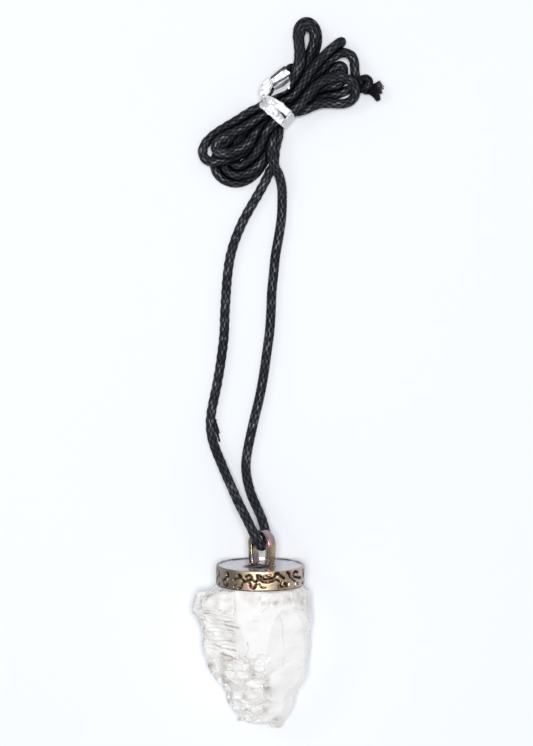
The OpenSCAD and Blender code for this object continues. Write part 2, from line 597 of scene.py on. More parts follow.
class Effects:
    """Shader effects that more than one finish uses, each built once."""

    def __init__(self) -> None:
        """Build the groups."""
        self.mottle = self._mottle()
        self.grain = self._grain()
        self.tarnish = self._tarnish()
        self.braid = self._braid()

    @staticmethod
    def _start(
        name: str, inputs: dict[str, float | None], *outputs: str
    ) -> tuple[Wiring, Sequence[Socket], Sequence[Socket]]:
        """Open a node group.

        Args:
            name: The group's name.
            inputs: The starting value of each input, or None for a place.
            *outputs: The name of each value that it puts out.

        Returns:
            The group's wiring, the sockets that it is given and those that it fills.
        """
        tree = bpy.data.node_groups.new(name, "ShaderNodeTree")
        for label, value in inputs.items():
            kind = "NodeSocketVector" if value is None else "NodeSocketFloat"
            socket = tree.interface.new_socket(label, in_out="INPUT", socket_type=kind)
            if value is not None:
                socket.default_value = value
        for label in outputs:
            tree.interface.new_socket(label, in_out="OUTPUT", socket_type="NodeSocketFloat")
        wiring = Wiring(tree)
        return wiring, wiring.add("NodeGroupInput").outputs, wiring.add("NodeGroupOutput").inputs

    def _mottle(self) -> Tree:
        """Build soft uneven patches.

        Returns:
            The group.
        """
        inputs = {"Place": None, "Scale": 200.0, "Low": 0.4, "High": 0.6}
        wiring, given, result = self._start("mottle", inputs, "Mask")
        noise = wiring.noise(given["Place"], given["Scale"], 4.0)
        wiring.feed(result["Mask"], wiring.span(noise, given["Low"], given["High"]))
        return wiring.tree

    def _grain(self) -> Tree:
        """Build a fine uneven surface height.

        Returns:
            The group.
        """
        wiring, given, result = self._start("grain", {"Place": None, "Scale": 2000.0}, "Height")
        coarse = wiring.noise(given["Place"], given["Scale"], 3.0)
        fine = wiring.noise(given["Place"], wiring.times(given["Scale"], 3.7), 2.0)
        height = wiring.plus(wiring.times(coarse, 0.7), wiring.times(fine, 0.3))
        wiring.feed(result["Height"], height)
        return wiring.tree

    def _tarnish(self) -> Tree:
        """Build the pink and violet bloom on old brass, and how dark a hollow is.

        Returns:
            The group.
        """
        inputs = {"Place": None, "Scale": 300.0, "Hollow": 0.0}
        wiring, given, result = self._start("tarnish", inputs, "Rose", "Violet", "Dark")
        place, scale = given["Place"], given["Scale"]
        rose = wiring.noise(place, scale, 2.0)
        violet = wiring.noise(place, wiring.times(scale, 0.61), 3.0)
        dust = wiring.noise(place, wiring.times(scale, 5.0), 3.0)
        dark = wiring.plus(given["Hollow"], wiring.times(wiring.less(dust, 0.5), 0.8))
        wiring.feed(result["Rose"], wiring.span(rose, 0.55, 0.68))
        wiring.feed(result["Violet"], wiring.span(violet, 0.5, 0.64))
        wiring.feed(result["Dark"], wiring.span(dark, 0.25, 0.75))
        return wiring.tree

    def _braid(self) -> Tree:
        """Build the strands of a plait from its UV map, with a wax number for each pick.

        Returns:
            The group.
        """
        inputs = {"Round": 0.0, "Along": 0.0}
        wiring, given, result = self._start("braid", inputs, "Crown", "Wax", "Fibre")
        plus, less, times, math_node = wiring.plus, wiring.less, wiring.times, wiring.math
        right = times(less(given["Round"], given["Along"]), float(STRANDS))
        left = times(plus(given["Round"], given["Along"]), float(STRANDS))
        right_cell, left_cell = math_node("FLOOR", right), math_node("FLOOR", left)
        right_part, left_part = math_node("FRACT", right), math_node("FRACT", left)
        odd = math_node("FLOORED_MODULO", plus(right_cell, left_cell), 2.0)
        swap = times(odd, less(left_part, right_part))
        over, onward = plus(right_part, swap), less(left_part, swap)
        bow = less(times(over, 2.0), 1.0)
        round_top = math_node("SQRT", less(1.0, times(bow, bow, ROUNDNESS)))
        rise = math_node("SINE", times(onward, math.pi))
        crown = plus(times(rise, CROSSING_SHARE), times(round_top, ROUND_SHARE))
        wiring.feed(result["Crown"], crown)
        strand = math_node("FLOORED_MODULO", right_cell, float(STRANDS))
        pick = wiring.join(less(right_cell, left_cell), strand)
        chance = wiring.add("ShaderNodeTexWhiteNoise", {"Vector": pick}).outputs["Value"]
        wiring.feed(result["Wax"], chance)
        streaks = wiring.join(times(over, 5.5), times(onward, 1.1), times(chance, 60.0))
        wiring.feed(result["Fibre"], wiring.noise(streaks, 1.0, 2.0))
        return wiring.tree


class Coat(Wiring):
    """The nodes of one material, round one Principled shader."""

    def __init__(self, name: str, effects: Effects, **constants: float) -> None:
        """Open a material.

        Args:
            name: The material's name.
            effects: The shared effects.
            **constants: Values set on the shader's own sockets, with _ for each space.
        """
        self.material = bpy.data.materials.new(name)
        self.material.use_nodes = True
        self.material.node_tree.nodes.clear()
        super().__init__(self.material.node_tree)
        self.effects = effects
        self.shader = self.add("ShaderNodeBsdfPrincipled")
        self.paint(**constants)
        self.add("ShaderNodeOutputMaterial", {"Surface": self.shader.outputs["BSDF"]})
        self.place = self.add("ShaderNodeTexCoord").outputs["Object"]

    def paint(self, **values: object) -> None:
        """Give the shader's sockets, with _ for each space, their values or what feeds them."""
        for key, value in values.items():
            self.feed(self.shader.inputs[key.replace("_", " ")], value)

    def mottle(self, scale: float, low: float, high: float) -> Socket:
        """Soft patches over the piece: 0 below the low share of the noise, 1 above the high."""
        values = {"Scale": scale, "Low": low, "High": high}
        return self.group(self.effects.mottle, Place=self.place, **values)["Mask"]

    def grain(self, scale: float) -> Socket:
        """A fine uneven height over the piece, from 0 to 1."""
        return self.group(self.effects.grain, Place=self.place, Scale=scale)["Height"]

    def emboss(self, height: Socket, depth: float) -> Material:
        """Raise the surface through a Bump node, as the last step of a finish.

        Args:
            height: The height, from 0 to 1.
            depth: How deep 1 is, in metres.

        Returns:
            The finished material.
        """
        bump = self.add("ShaderNodeBump", {"Height": height, "Strength": 1.0, "Distance": depth})
        self.paint(Normal=bump.outputs["Normal"])
        return self.material


@dataclass(frozen=True)
class Finish:
    """What every finish has: a name and the shared effects."""

    name: str
    effects: Effects

    def start(self, **constants: float) -> Coat:
        """Open the material, with values for the shader's own sockets."""
        return Coat(self.name, self.effects, **constants)


@dataclass(frozen=True)
class WaxedCotton(Finish):
    """Black waxed cotton: grey where wax is worn on the crowns of the plait, with painted highlights there,
    and painted shade in the plait's hollows and where strands touch.
    """

    # The hollow and cleft colours are painted shade: in the plait's hollows and where strands touch.
    hollow: Colour = (0.0045, 0.0050, 0.0068, 1.0)
    cleft: Colour = (0.0003, 0.0003, 0.0005, 1.0)
    crown: Colour = (0.0215, 0.0235, 0.0310, 1.0)
    # The grey of wax worn on the crowns, with a painted highlight.
    wax_and_highlight: Colour = (0.175, 0.185, 0.22, 1.0)
    depth: float = 0.00015

    def make(self) -> Material:
        """Build the material.

        Returns:
            The material.
        """
        coat = self.start(Specular_IOR_Level=0.05, Coat_Roughness=0.26)
        flat = coat.split(coat.add("ShaderNodeUVMap").outputs[0])
        braid = coat.group(self.effects.braid, Round=flat[0], Along=flat[1])
        crown, wax, fibre = (braid[key] for key in ("Crown", "Wax", "Fibre"))
        worn = coat.mottle(130.0, 0.36, 0.62)
        smear = coat.mottle(520.0, 0.42, 0.66)
        free = coat.attribute("free")
        # Painted shade: darker in the plait's hollows, and near black where another strand lies close.
        body = coat.blend(coat.span(crown, 0.2, 1.0), self.hollow, self.crown)
        body = coat.blend(free, self.cleft, body)
        waxy = coat.plus(coat.times(coat.span(wax, 0.25, 1.0), 0.4), coat.times(smear, 0.6))
        waxy = coat.times(waxy, coat.times(worn, free))
        top = coat.times(coat.span(crown, 0.5, 0.95), free)
        # Worn wax with a painted highlight on the exposed crowns.
        wax_and_highlight_share = coat.times(top, coat.times(waxy, coat.span(fibre, 0.3, 0.72)))
        coat.paint(
            Base_Color=coat.blend(wax_and_highlight_share, body, self.wax_and_highlight),
            Roughness=coat.span(waxy, 0.0, 1.0, 0.62, 0.4),
            Coat_Weight=coat.times(top, coat.span(wax, 0.1, 1.0, 0.04, 0.6)),
        )
        fuzz = coat.times(coat.plus(fibre, coat.grain(5200.0)), 0.125)
        return coat.emboss(coat.plus(coat.times(crown, 0.75), fuzz), self.depth)


@dataclass(frozen=True)
class FrayedCotton(Finish):
    """The loose ends: black threads, with paler ones where the wax has come off."""

    dark: Colour = (0.004, 0.004, 0.006, 1.0)
    pale: Colour = (0.30, 0.265, 0.275, 1.0)
    depth: float = 0.00005

    def make(self) -> Material:
        """Build the material.

        Returns:
            The material.
        """
        coat = self.start(Roughness=0.6, Specular_IOR_Level=0.12)
        patch = coat.span(coat.mottle(900.0, 0.35, 0.65), 0.0, 1.0, 0.55, 1.0)
        tone = coat.times(coat.attribute("tone"), patch)
        coat.paint(Base_Color=coat.blend(tone, self.dark, self.pale))
        return coat.emboss(coat.grain(6000.0), self.depth)


@dataclass(frozen=True)
class OldBrass(Finish):
    """Oxidised brass: gold where it is worn, violet grey and rose where it is not, with painted shade on
    the rim's sides, and on the disc a stain with a painted shadow and reflection of the bail.
    """

    metal: Colour = (0.89, 0.69, 0.46, 1.0)
    rose: Colour = (0.95, 0.58, 0.46, 1.0)
    violet: Colour = (0.50, 0.42, 0.40, 1.0)
    oxide: Colour = (0.018, 0.014, 0.014, 1.0)
    # The painted shade colour of the rim's left side.
    left_side_shade: Colour = (0.25, 0.22, 0.185, 1.0)
    umber: Colour = (0.26, 0.185, 0.115, 1.0)
    rough: float = 0.3
    patch: float = 330.0
    depth: float = 0.00006
    shaded_sides: bool = True
    stained_and_shaded: bool = False
    middle: float = 0.00185
    stain_and_shadow_place: Point = (0.00145, 0.0143, 0.0120)

    def make(self) -> Material:
        """Build the material.

        Returns:
            The material.
        """
        coat = self.start(Specular_IOR_Level=0.1)
        inputs = {"Scale": self.patch, "Hollow": coat.attribute("hollow")}
        bloom = coat.group(self.effects.tarnish, Place=coat.place, **inputs)
        colour = coat.blend(bloom["Rose"], self.metal, self.rose)
        violet, dark = bloom["Violet"], bloom["Dark"]
        across = coat.less(coat.split(coat.place)[0], self.middle)
        # Painted shade: the rim's sides, which turn away from the light, are painted violet grey on the
        # right and green grey on the left.
        if self.shaded_sides:
            violet = coat.larger(coat.times(violet, 0.6), coat.span(across, 0.0052, 0.0085))
        colour = coat.blend(violet, colour, self.violet)
        if self.shaded_sides:
            colour = coat.blend(coat.span(across, -0.0022, -0.007), colour, self.left_side_shade)
        colour = coat.blend(coat.span(dark, 0.0, 0.55), colour, self.umber)
        # On the disc: a stain with a painted shadow and reflection of the bail.
        if self.stained_and_shaded:
            dark = coat.larger(dark, self._stain_and_shadow(coat))
        coat.paint(
            Base_Color=coat.blend(coat.span(dark, 0.4, 1.0), colour, self.oxide),
            Roughness=coat.span(dark, 0.3, 1.0, self.rough, self.rough + 0.5),
            Metallic=coat.span(dark, 0.3, 1.0, 1.0, 0.0),
        )
        return coat.emboss(coat.grain(1500.0), self.depth)

    def _stain_and_shadow(self, coat: Coat) -> Socket:
        """The round flux stain between the bail's feet, with a painted shadow and reflection of the bail.

        Args:
            coat: The material's nodes.

        Returns:
            How dark it is, from 0 to 1.
        """
        speck = coat.mottle(800.0, 0.3, 0.6)
        places = {0: coat.place, 1: self.stain_and_shadow_place}
        away = coat.add("ShaderNodeVectorMath", places, operation="DISTANCE").outputs["Value"]
        return coat.times(coat.span(away, 0.0052, 0.0018), coat.span(speck, 0.0, 1.0, 0.7, 1.0))


@dataclass(frozen=True)
class SilveryFoil(Finish):
    """Bright crumpled tie strip: white, with painted blue-grey shade and reflection in its creases and on
    its pleats.
    """

    white: Colour = (0.90, 0.91, 0.93, 1.0)
    shade: Colour = (0.05, 0.06, 0.085, 1.0)
    depth: float = 0.00003

    def make(self) -> Material:
        """Build the material.

        Returns:
            The material.
        """
        coat = self.start(Metallic=0.3)
        patch = coat.mottle(420.0, 0.52, 0.7)
        # The tie's pieces carry a number for painted shade and reflection on the foil.
        share = coat.larger(coat.times(patch, 0.07), coat.attribute("foil_shade"))
        coat.paint(
            Base_Color=coat.blend(share, self.white, self.shade),
            Roughness=coat.span(patch, 0.0, 1.0, 0.42, 0.3),
        )
        return coat.emboss(coat.grain(1300.0), self.depth)


@dataclass(frozen=True)
class RoughQuartz(Finish):
    """Milky rock crystal, clear and cloudy by turns, with beige in its cracks and in some darker areas."""

    milk: Colour = (0.995, 0.99, 0.985, 1.0)
    cloud: Colour = (0.90, 0.895, 0.885, 1.0)
    earth: Colour = (0.42, 0.36, 0.30, 1.0)
    depth: float = 0.00013

    def make(self) -> Material:
        """Build the material.

        Returns:
            The material.
        """
        coat = self.start(Transmission_Weight=0.02, IOR=1.54)
        cloud = coat.mottle(190.0, 0.44, 0.7)
        fleck = coat.mottle(900.0, 0.5, 0.7)
        vein = coat.mottle(420.0, 0.4, 0.65)
        dull = coat.larger(coat.times(cloud, 0.7), coat.times(fleck, 0.35))
        colour = coat.blend(dull, self.milk, self.cloud)
        share = coat.times(coat.attribute("crack_and_darkening"), coat.span(vein, 0.0, 1.0, 0.4, 1.0))
        coat.paint(
            Base_Color=coat.blend(share, colour, self.earth),
            Roughness=coat.span(cloud, 0.0, 1.0, 0.14, 0.34),
        )
        return coat.emboss(coat.grain(900.0), self.depth)


@dataclass(frozen=True)
class PalePaper(Finish):
    """The plain near-white floor."""

    colour: Colour = (0.895, 0.92, 0.955, 1.0)
    paler: Colour = (0.90216, 0.92736, 0.96264, 1.0)

    def make(self) -> Material:
        """Build the material.

        Returns:
            The material.
        """
        coat = self.start(Roughness=0.9, Specular_IOR_Level=0.1)
        coat.paint(Base_Color=coat.blend(coat.mottle(9.0, 0.2, 0.8), self.colour, self.paler))
        return coat.material


# Studio


@dataclass(frozen=True)
class Studio:
    """The camera above the floor, the pale floor and the soft light."""

    effects: Effects
    aim: Flat = (3.2, 56.7)
    height: float = 600.0
    lens: float = 129.4
    sensor: float = 36.0
    floor_side: float = 4000.0
    floor_gap: float = 0.02
    room_low: Colour = (0.42, 0.43, 0.47, 1.0)
    room_high: Colour = (0.92, 0.93, 0.96, 1.0)
    room_strength: float = 0.38

    def set_camera(self) -> None:
        """Put the camera straight above the necklace, as the photograph was taken."""
        lens = bpy.data.cameras.new("camera")
        lens.lens = self.lens
        lens.sensor_width = self.sensor
        camera = bpy.data.objects.new("camera", lens)
        camera.location = Vector((*self.aim, self.height)) * MM
        bpy.context.scene.collection.objects.link(camera)
        bpy.context.scene.camera = camera

    def lay_floor(self) -> None:
        """Lay the plain floor just under the necklace."""
        Work.clear()
        place = (0, 0, -self.floor_gap * MM)
        bpy.ops.mesh.primitive_plane_add(size=self.floor_side * MM, location=place)
        floor = Work.started("floor")
        floor.data.materials.append(PalePaper("pale_paper", self.effects).make())

    def hang_light(self, name: str, place: Point, size: float, power: float, colour: Point) -> None:
        """Hang one square soft light that looks at the middle of the necklace.

        Args:
            name: The light's name.
            place: Where it hangs, in metres.
            size: Its side, in metres.
            power: Its power in watts.
            colour: Its colour.
        """
        light = bpy.data.lights.new(name, "AREA")
        light.size = size
        light.energy = power
        light.color = colour
        lamp = bpy.data.objects.new(name, light)
        lamp.location = place
        aim = Vector((*self.aim, 0.0)) * MM - Vector(place)
        lamp.rotation_euler = aim.to_track_quat("-Z", "Y").to_euler()
        bpy.context.scene.collection.objects.link(lamp)

    def light(self) -> None:
        """Light the set: a wide soft box overhead, a small one aside and a pale room."""
        self.hang_light("key", (0.003, 0.07, 1.1), 0.3, 8.6, (1.0, 0.995, 0.985))
        self.hang_light("side", (-0.45, 0.3, 0.5), 0.25, 0.45, (1.0, 1.0, 1.0))
        world = bpy.data.worlds.new("room")
        world.use_nodes = True
        bpy.context.scene.world = world
        wiring = Wiring(world.node_tree)
        world.node_tree.nodes.clear()
        up = wiring.split(wiring.add("ShaderNodeTexCoord").outputs["Generated"])[2]
        tone = wiring.blend(wiring.span(up, 0.0, 0.8), self.room_low, self.room_high)
        sky = wiring.add("ShaderNodeBackground", {"Color": tone, "Strength": self.room_strength})
        wiring.add("ShaderNodeOutputWorld", {"Surface": sky.outputs["Background"]})
        bpy.context.scene.view_settings.view_transform = "Standard"


# Cord


@dataclass(frozen=True)
class TieFrame:
    """The frame of the tied neck: along the hank, across it, and up."""

    x: float = 5.4
    y: float = 115.2
    angle: float = 50.0

    def turn(self) -> Flat:
        """Cosine and sine of the neck's angle."""
        return math.cos(math.radians(self.angle)), math.sin(math.radians(self.angle))

    def outward(self, points: Array) -> Array:
        """Turn places along, across and up in the neck into the row frame.

        Args:
            points: The places in the neck, one row each.

        Returns:
            The places in the row frame.
        """
        cos, sin = self.turn()
        along, across, up = points.T
        right, ahead = along * cos - across * sin, along * sin + across * cos
        return np.column_stack([self.x + right, self.y + ahead, up])

    def inward(self, points: Array) -> Array:
        """Turn places in the row frame into along, across and up in the neck.

        Args:
            points: The places in the row frame, one row each.

        Returns:
            The places in the neck.
        """
        cos, sin = self.turn()
        right, ahead = points[:, 0] - self.x, points[:, 1] - self.y
        return np.column_stack([right * cos + ahead * sin, ahead * cos - right * sin, points[:, 2]])


class Side(Enum):
    """Which end of the neck a loop is at, and the sign of the way to it."""

    NEAR = -1
    FAR = 1


@dataclass(frozen=True)
class Fold:
    """One loop of the folded cord, from the neck out and back, a tail or the run.

    The slots are where its two ends pass through the neck: across it, and up.
    """

    side: Side
    first_slot: Flat | None
    last_slot: Flat | None
    points: tuple[Point, ...]


# The cord's way from the neck down to the bail, through its eye and back to the neck
RUN_ROUTE: tuple[Point, ...] = (
    (4.8, 112.7, 3.9), (4.4, 109.6, 4.2), (4.2, 106.3, 4.1), (4.8, 103.2, 3.7), (6, 100.7, 2.9),
    (6.6, 98.2, 1.8), (6.7, 95, 1.1), (6.5, 91, 1), (5.9, 87, 1), (5.2, 83, 1), (4.8, 79, 1), (4.4, 75, 1),
    (4.2, 70.5, 1), (3.9, 66, 1), (3.3, 61.5, 1), (2.6, 56.5, 1), (1.7, 51.5, 1), (0.6, 47, 1),
    (-0.4, 42.5, 1), (-1.1, 39, 1), (-1.4, 36, 1.2), (-1.1, 33, 2.1), (-0.3, 30, 3.3), (0.9, 27.2, 4.9),
    (2, 24.8, 6.3), (2.7, 22.7, 7.5), (3.2, 20.8, 8.5), (3.2, 19.3, 9.4), (2.3, 18.6, 10.6),
    (1.7, 19, 11.7), (1.1, 20.1, 12.5), (0.5, 21.4, 12.8), (-0.4, 23.2, 12.4), (-1.5, 25.4, 11.3),
    (-2.9, 28, 9.7), (-4.3, 31, 7.7), (-5.7, 34, 5.7), (-7, 37, 3.9), (-8.2, 39.8, 2.4), (-9, 42.4, 1.4),
    (-9.3, 45, 1), (-9.1, 48, 1), (-8.4, 51.5, 1), (-7.6, 55.5, 1), (-6.9, 60, 1), (-6.3, 65, 1),
    (-6.1, 70, 1), (-5.8, 75, 1), (-5.4, 79.5, 1), (-4.7, 83.5, 1), (-3.4, 87.5, 1), (-1.7, 91.3, 1),
    (0.4, 95, 1), (2.4, 98.5, 1), (4, 101.7, 1), (4.9, 103.3, 1), (5.1, 105.5, 1.4), (5.3, 107.2, 2.1),
    (5.8, 109.2, 2.6), (6, 110.5, 2.4), (5.8, 111.9, 2),
)

# The folds in the order in which the cord goes through them
FOLDS: tuple[Fold, ...] = (
    # The upper tail
    Fold(Side.FAR, None, (-1.4, 5.0), (
        (24.8, 121.2, 2.2), (24, 121.4, 2.1), (23, 122.5, 2.3), (22.8, 123.9, 2.7), (22.9, 125.5, 3.1),
        (22.7, 126.9, 3.4), (21.8, 128, 3.7), (20.4, 128.3, 4), (19.1, 128, 4.3), (17.8, 127, 4.5),
        (16.4, 125.7, 4.6), (14.6, 123.7, 4.7), (12.9, 121.5, 4.7), (11.3, 119.2, 4.7), (9.7, 116.8, 4.7),
    )),
    # The top loop
    Fold(Side.NEAR, (1.6, 5.0), (-0.4, 5.0), (
        (1.3, 113.2, 4.9), (-0.6, 112, 4.9), (-2.6, 110.7, 4.8), (-4.6, 109.8, 4.8), (-6.6, 109, 4.7),
        (-8, 108.1, 4.6), (-8.5, 106.8, 4.6), (-7.8, 105.6, 4.7), (-6.2, 105.2, 4.9), (-4.5, 105.5, 5),
        (-2.8, 106.1, 5), (-1.1, 107.1, 5), (0.3, 108.4, 5), (1.5, 109.7, 5), (2.7, 111.3, 5),
    )),
    # The tall loop
    Fold(Side.FAR, (1.0, 3.6), (1.9, 5.0), (
        (8.8, 118.7, 3.1), (10, 120.5, 3.1), (10.9, 122.3, 3), (11.6, 124, 3), (12.1, 125.8, 3),
        (12.6, 127.4, 3.1), (13.2, 128.9, 3.2), (13.7, 130.3, 3.4), (14, 131.7, 3.6), (13.7, 133, 3.8),
        (13, 134, 4), (12, 134.2, 4.1), (11, 133.3, 4.2), (10.5, 132.2, 4.3), (10.5, 130.7, 4.4),
        (10.8, 128.7, 4.5), (10.9, 126.8, 4.6), (10.7, 124.8, 4.7), (10.2, 122.9, 4.8), (9.2, 121.1, 4.8),
        (8.4, 119.5, 4.8), (7.5, 117.9, 4.8),
    )),
    # The outer loop
    Fold(Side.NEAR, (2.6, 4.7), (-1.5, 3.2), (
        (0.4, 114.9, 4.6), (-1.6, 113.7, 4.5), (-3.7, 112.5, 4.3), (-5.9, 111.3, 4), (-8, 110.1, 3.7),
        (-9.8, 108.6, 3.4), (-11, 107.1, 3.2), (-11.25, 105.7, 3.1), (-10.65, 104.2, 3.1),
        (-8.9, 103.5, 3.1), (-7.3, 103.8, 3.1), (-5.6, 104.6, 3.1), (-3.6, 105, 3), (-1.4, 105.6, 3),
        (0.4, 107, 2.9), (1.9, 108.8, 2.9),
    )),
    # The round loop
    Fold(Side.FAR, (-2.4, 3.6), (-2.6, 5.0), (
        (11.3, 115.8, 2.6), (12.6, 116.5, 2.6), (14.1, 117, 2.6), (15.8, 117.2, 2.6), (17.7, 117, 2.7),
        (19.4, 116.8, 2.8), (21, 116.8, 2.9), (22.3, 117.4, 3.1), (23.1, 118.5, 3.4), (23.3, 119.8, 3.7),
        (22.9, 121, 4), (21.9, 122, 4.2), (20.4, 122.6, 4.4), (18.8, 122.7, 4.5), (17.2, 122.5, 4.6),
        (15.8, 122, 4.6), (14.2, 121, 4.6), (12.7, 119.6, 4.7), (11.4, 118.2, 4.7),
    )),
    # The middle loop
    Fold(Side.NEAR, (-1.5, 5.0), (0.2, 2.3), (
        (3.9, 110.9, 4.7), (3, 109.2, 4.4), (1.9, 107.4, 3.9), (0.7, 105.7, 3.5), (-0.8, 104.1, 3.3),
        (-2.3, 102.9, 3.2), (-4, 102.3, 3.1), (-5, 103, 3), (-5, 103.9, 2.8), (-3.6, 104.9, 2.7),
        (-1.7, 106.8, 2.6), (0, 108.9, 2.5), (1.5, 110.7, 2.5),
    )),
    # The second tall loop
    Fold(Side.FAR, (0.9, 2.3), (2.7, 3.6), (
        (8.4, 118.5, 1.4), (9.7, 120.3, 1.2), (10.9, 122.1, 1.1), (11.9, 123.9, 1.1), (12.8, 125.6, 1.1),
        (13.6, 127.3, 1.1), (14.2, 128.9, 1.2), (14.6, 130.4, 1.3), (14.7, 131.8, 1.5), (14.4, 133.4, 1.7),
        (13.7, 134.7, 1.9), (12.6, 135.4, 2), (11.4, 135.3, 2.1), (10.5, 134.4, 2.2), (10, 132.8, 2.3),
        (10.2, 130.9, 2.4), (10.5, 129, 2.5), (10.6, 127, 2.6), (10.4, 125, 2.7), (9.9, 123.1, 2.8),
        (9, 121.3, 3), (7.9, 119.5, 3.2),
    )),
    # The inner loop
    Fold(Side.NEAR, (0.6, 4.9), (0.4, 3.2), (
        (1.1, 113.6, 4.8), (0, 112.3, 4.7), (-1.1, 110.6, 4.5), (-2.2, 109.4, 4.3), (-3.2, 108.4, 4),
        (-3.4, 107.5, 3.5), (-2.6, 106.9, 3), (-1.1, 107.8, 2.9), (0.1, 109.2, 2.9), (1.4, 110.8, 2.9),
        (2.3, 112.5, 2.9),
    )),
    # The short loop
    Fold(Side.FAR, (2.7, 2.3), (1.8, 1.1), (
        (6.6, 120.8, 2.8), (7.9, 122.8, 2.6), (9, 124.9, 2.4), (9.6, 125.5, 2.1), (10.1, 124.9, 1.8),
        (9.5, 122.8, 1.5), (8.2, 120.6, 1.4), (6.9, 118.7, 1.4),
    )),
    # The lowest loop
    Fold(Side.NEAR, (2.7, 1.1), (-0.7, 1.1), (
        (0.5, 113.2, 1.1), (-1.2, 111.1, 1), (-2.9, 109.1, 1), (-4.8, 107.3, 1), (-6.6, 105.7, 1),
        (-8.1, 104.2, 1), (-8.2, 102.8, 1), (-7.9, 101.4, 1), (-7.1, 100.3, 1), (-5.7, 99.6, 1),
        (-4.2, 99.1, 1), (-2.5, 99.2, 1), (-0.8, 99.9, 1), (0.7, 101, 1), (2.1, 102.5, 1), (3.3, 104.5, 1),
        (4.3, 106.7, 1), (5, 109, 1.1),
    )),
    # The inner loop
    Fold(Side.FAR, (-1.6, 2.3), (0.0, 1.1), (
        (12.1, 117.8, 3), (13.5, 119.8, 3), (14.9, 121.6, 3), (16.5, 123.2, 3), (18, 124.5, 3),
        (19.3, 125.5, 3), (20.2, 125.8, 2.9), (20.7, 125.4, 2.8), (20.7, 124.3, 2.7), (20.5, 123.1, 2.6),
        (20.4, 122, 2.6), (20.3, 121, 2.6), (19.6, 120.3, 2.6), (18.2, 120.4, 2.4), (16.2, 120.1, 2.2),
        (14.4, 119, 2), (12.9, 117.7, 1.8), (11.8, 116.3, 1.5),
    )),
    # The wide loop
    Fold(Side.NEAR, (1.0, 1.1), (-1.9, 1.6), (
        (1, 112.6, 1.2), (-0.8, 110.7, 1.1), (-2.8, 109.1, 1.1), (-4.8, 107.5, 1.1), (-6.2, 106.1, 1.2),
        (-6.9, 104.9, 1.4), (-6.8, 103.6, 1.7), (-6.2, 102.6, 1.9), (-5.3, 101.7, 2), (-4.3, 101.1, 2.1),
        (-3, 100.9, 2.3), (-1.6, 101, 2.6), (-0.3, 101.6, 2.8), (1, 102.5, 2.8), (2.2, 103.6, 2.7),
        (3.3, 105, 2.4), (3.9, 106.8, 2), (4.3, 108.8, 1.7), (4.7, 110.6, 1.6),
    )),
    # The folded loop
    Fold(Side.FAR, (-0.7, 3.6), (0.2, 5.0), (
        (10.3, 119.4, 2.9), (11.9, 121.5, 2.8), (13.5, 123.6, 2.8), (15.2, 125.5, 2.8), (16.8, 127.3, 2.8),
        (18.4, 128.9, 2.8), (20.2, 130.5, 3), (20.7, 131.2, 3.9), (19.7, 130.4, 4.6), (18.2, 129, 4.8),
        (16.7, 127.7, 4.9), (15.4, 126.1, 4.9), (14.1, 124.5, 4.9), (12.8, 122.7, 4.9), (11.6, 120.8, 4.9),
        (10.3, 118.8, 4.9), (9, 116.9, 4.9),
    )),
    # The run to the bail and back
    Fold(Side.NEAR, None, None, RUN_ROUTE),
    # The lower tail
    Fold(Side.FAR, (-1.8, 1.1), None, (
        (11.8, 116.7, 1.3), (14, 118.6, 1.1), (16.3, 119.1, 1), (18.6, 119.1, 1), (20.3, 119.9, 1),
        (21.5, 120.3, 1), (22.6, 120.3, 1.1), (23.8, 120.2, 1.4), (24.7, 120.4, 1.8),
    )),
)


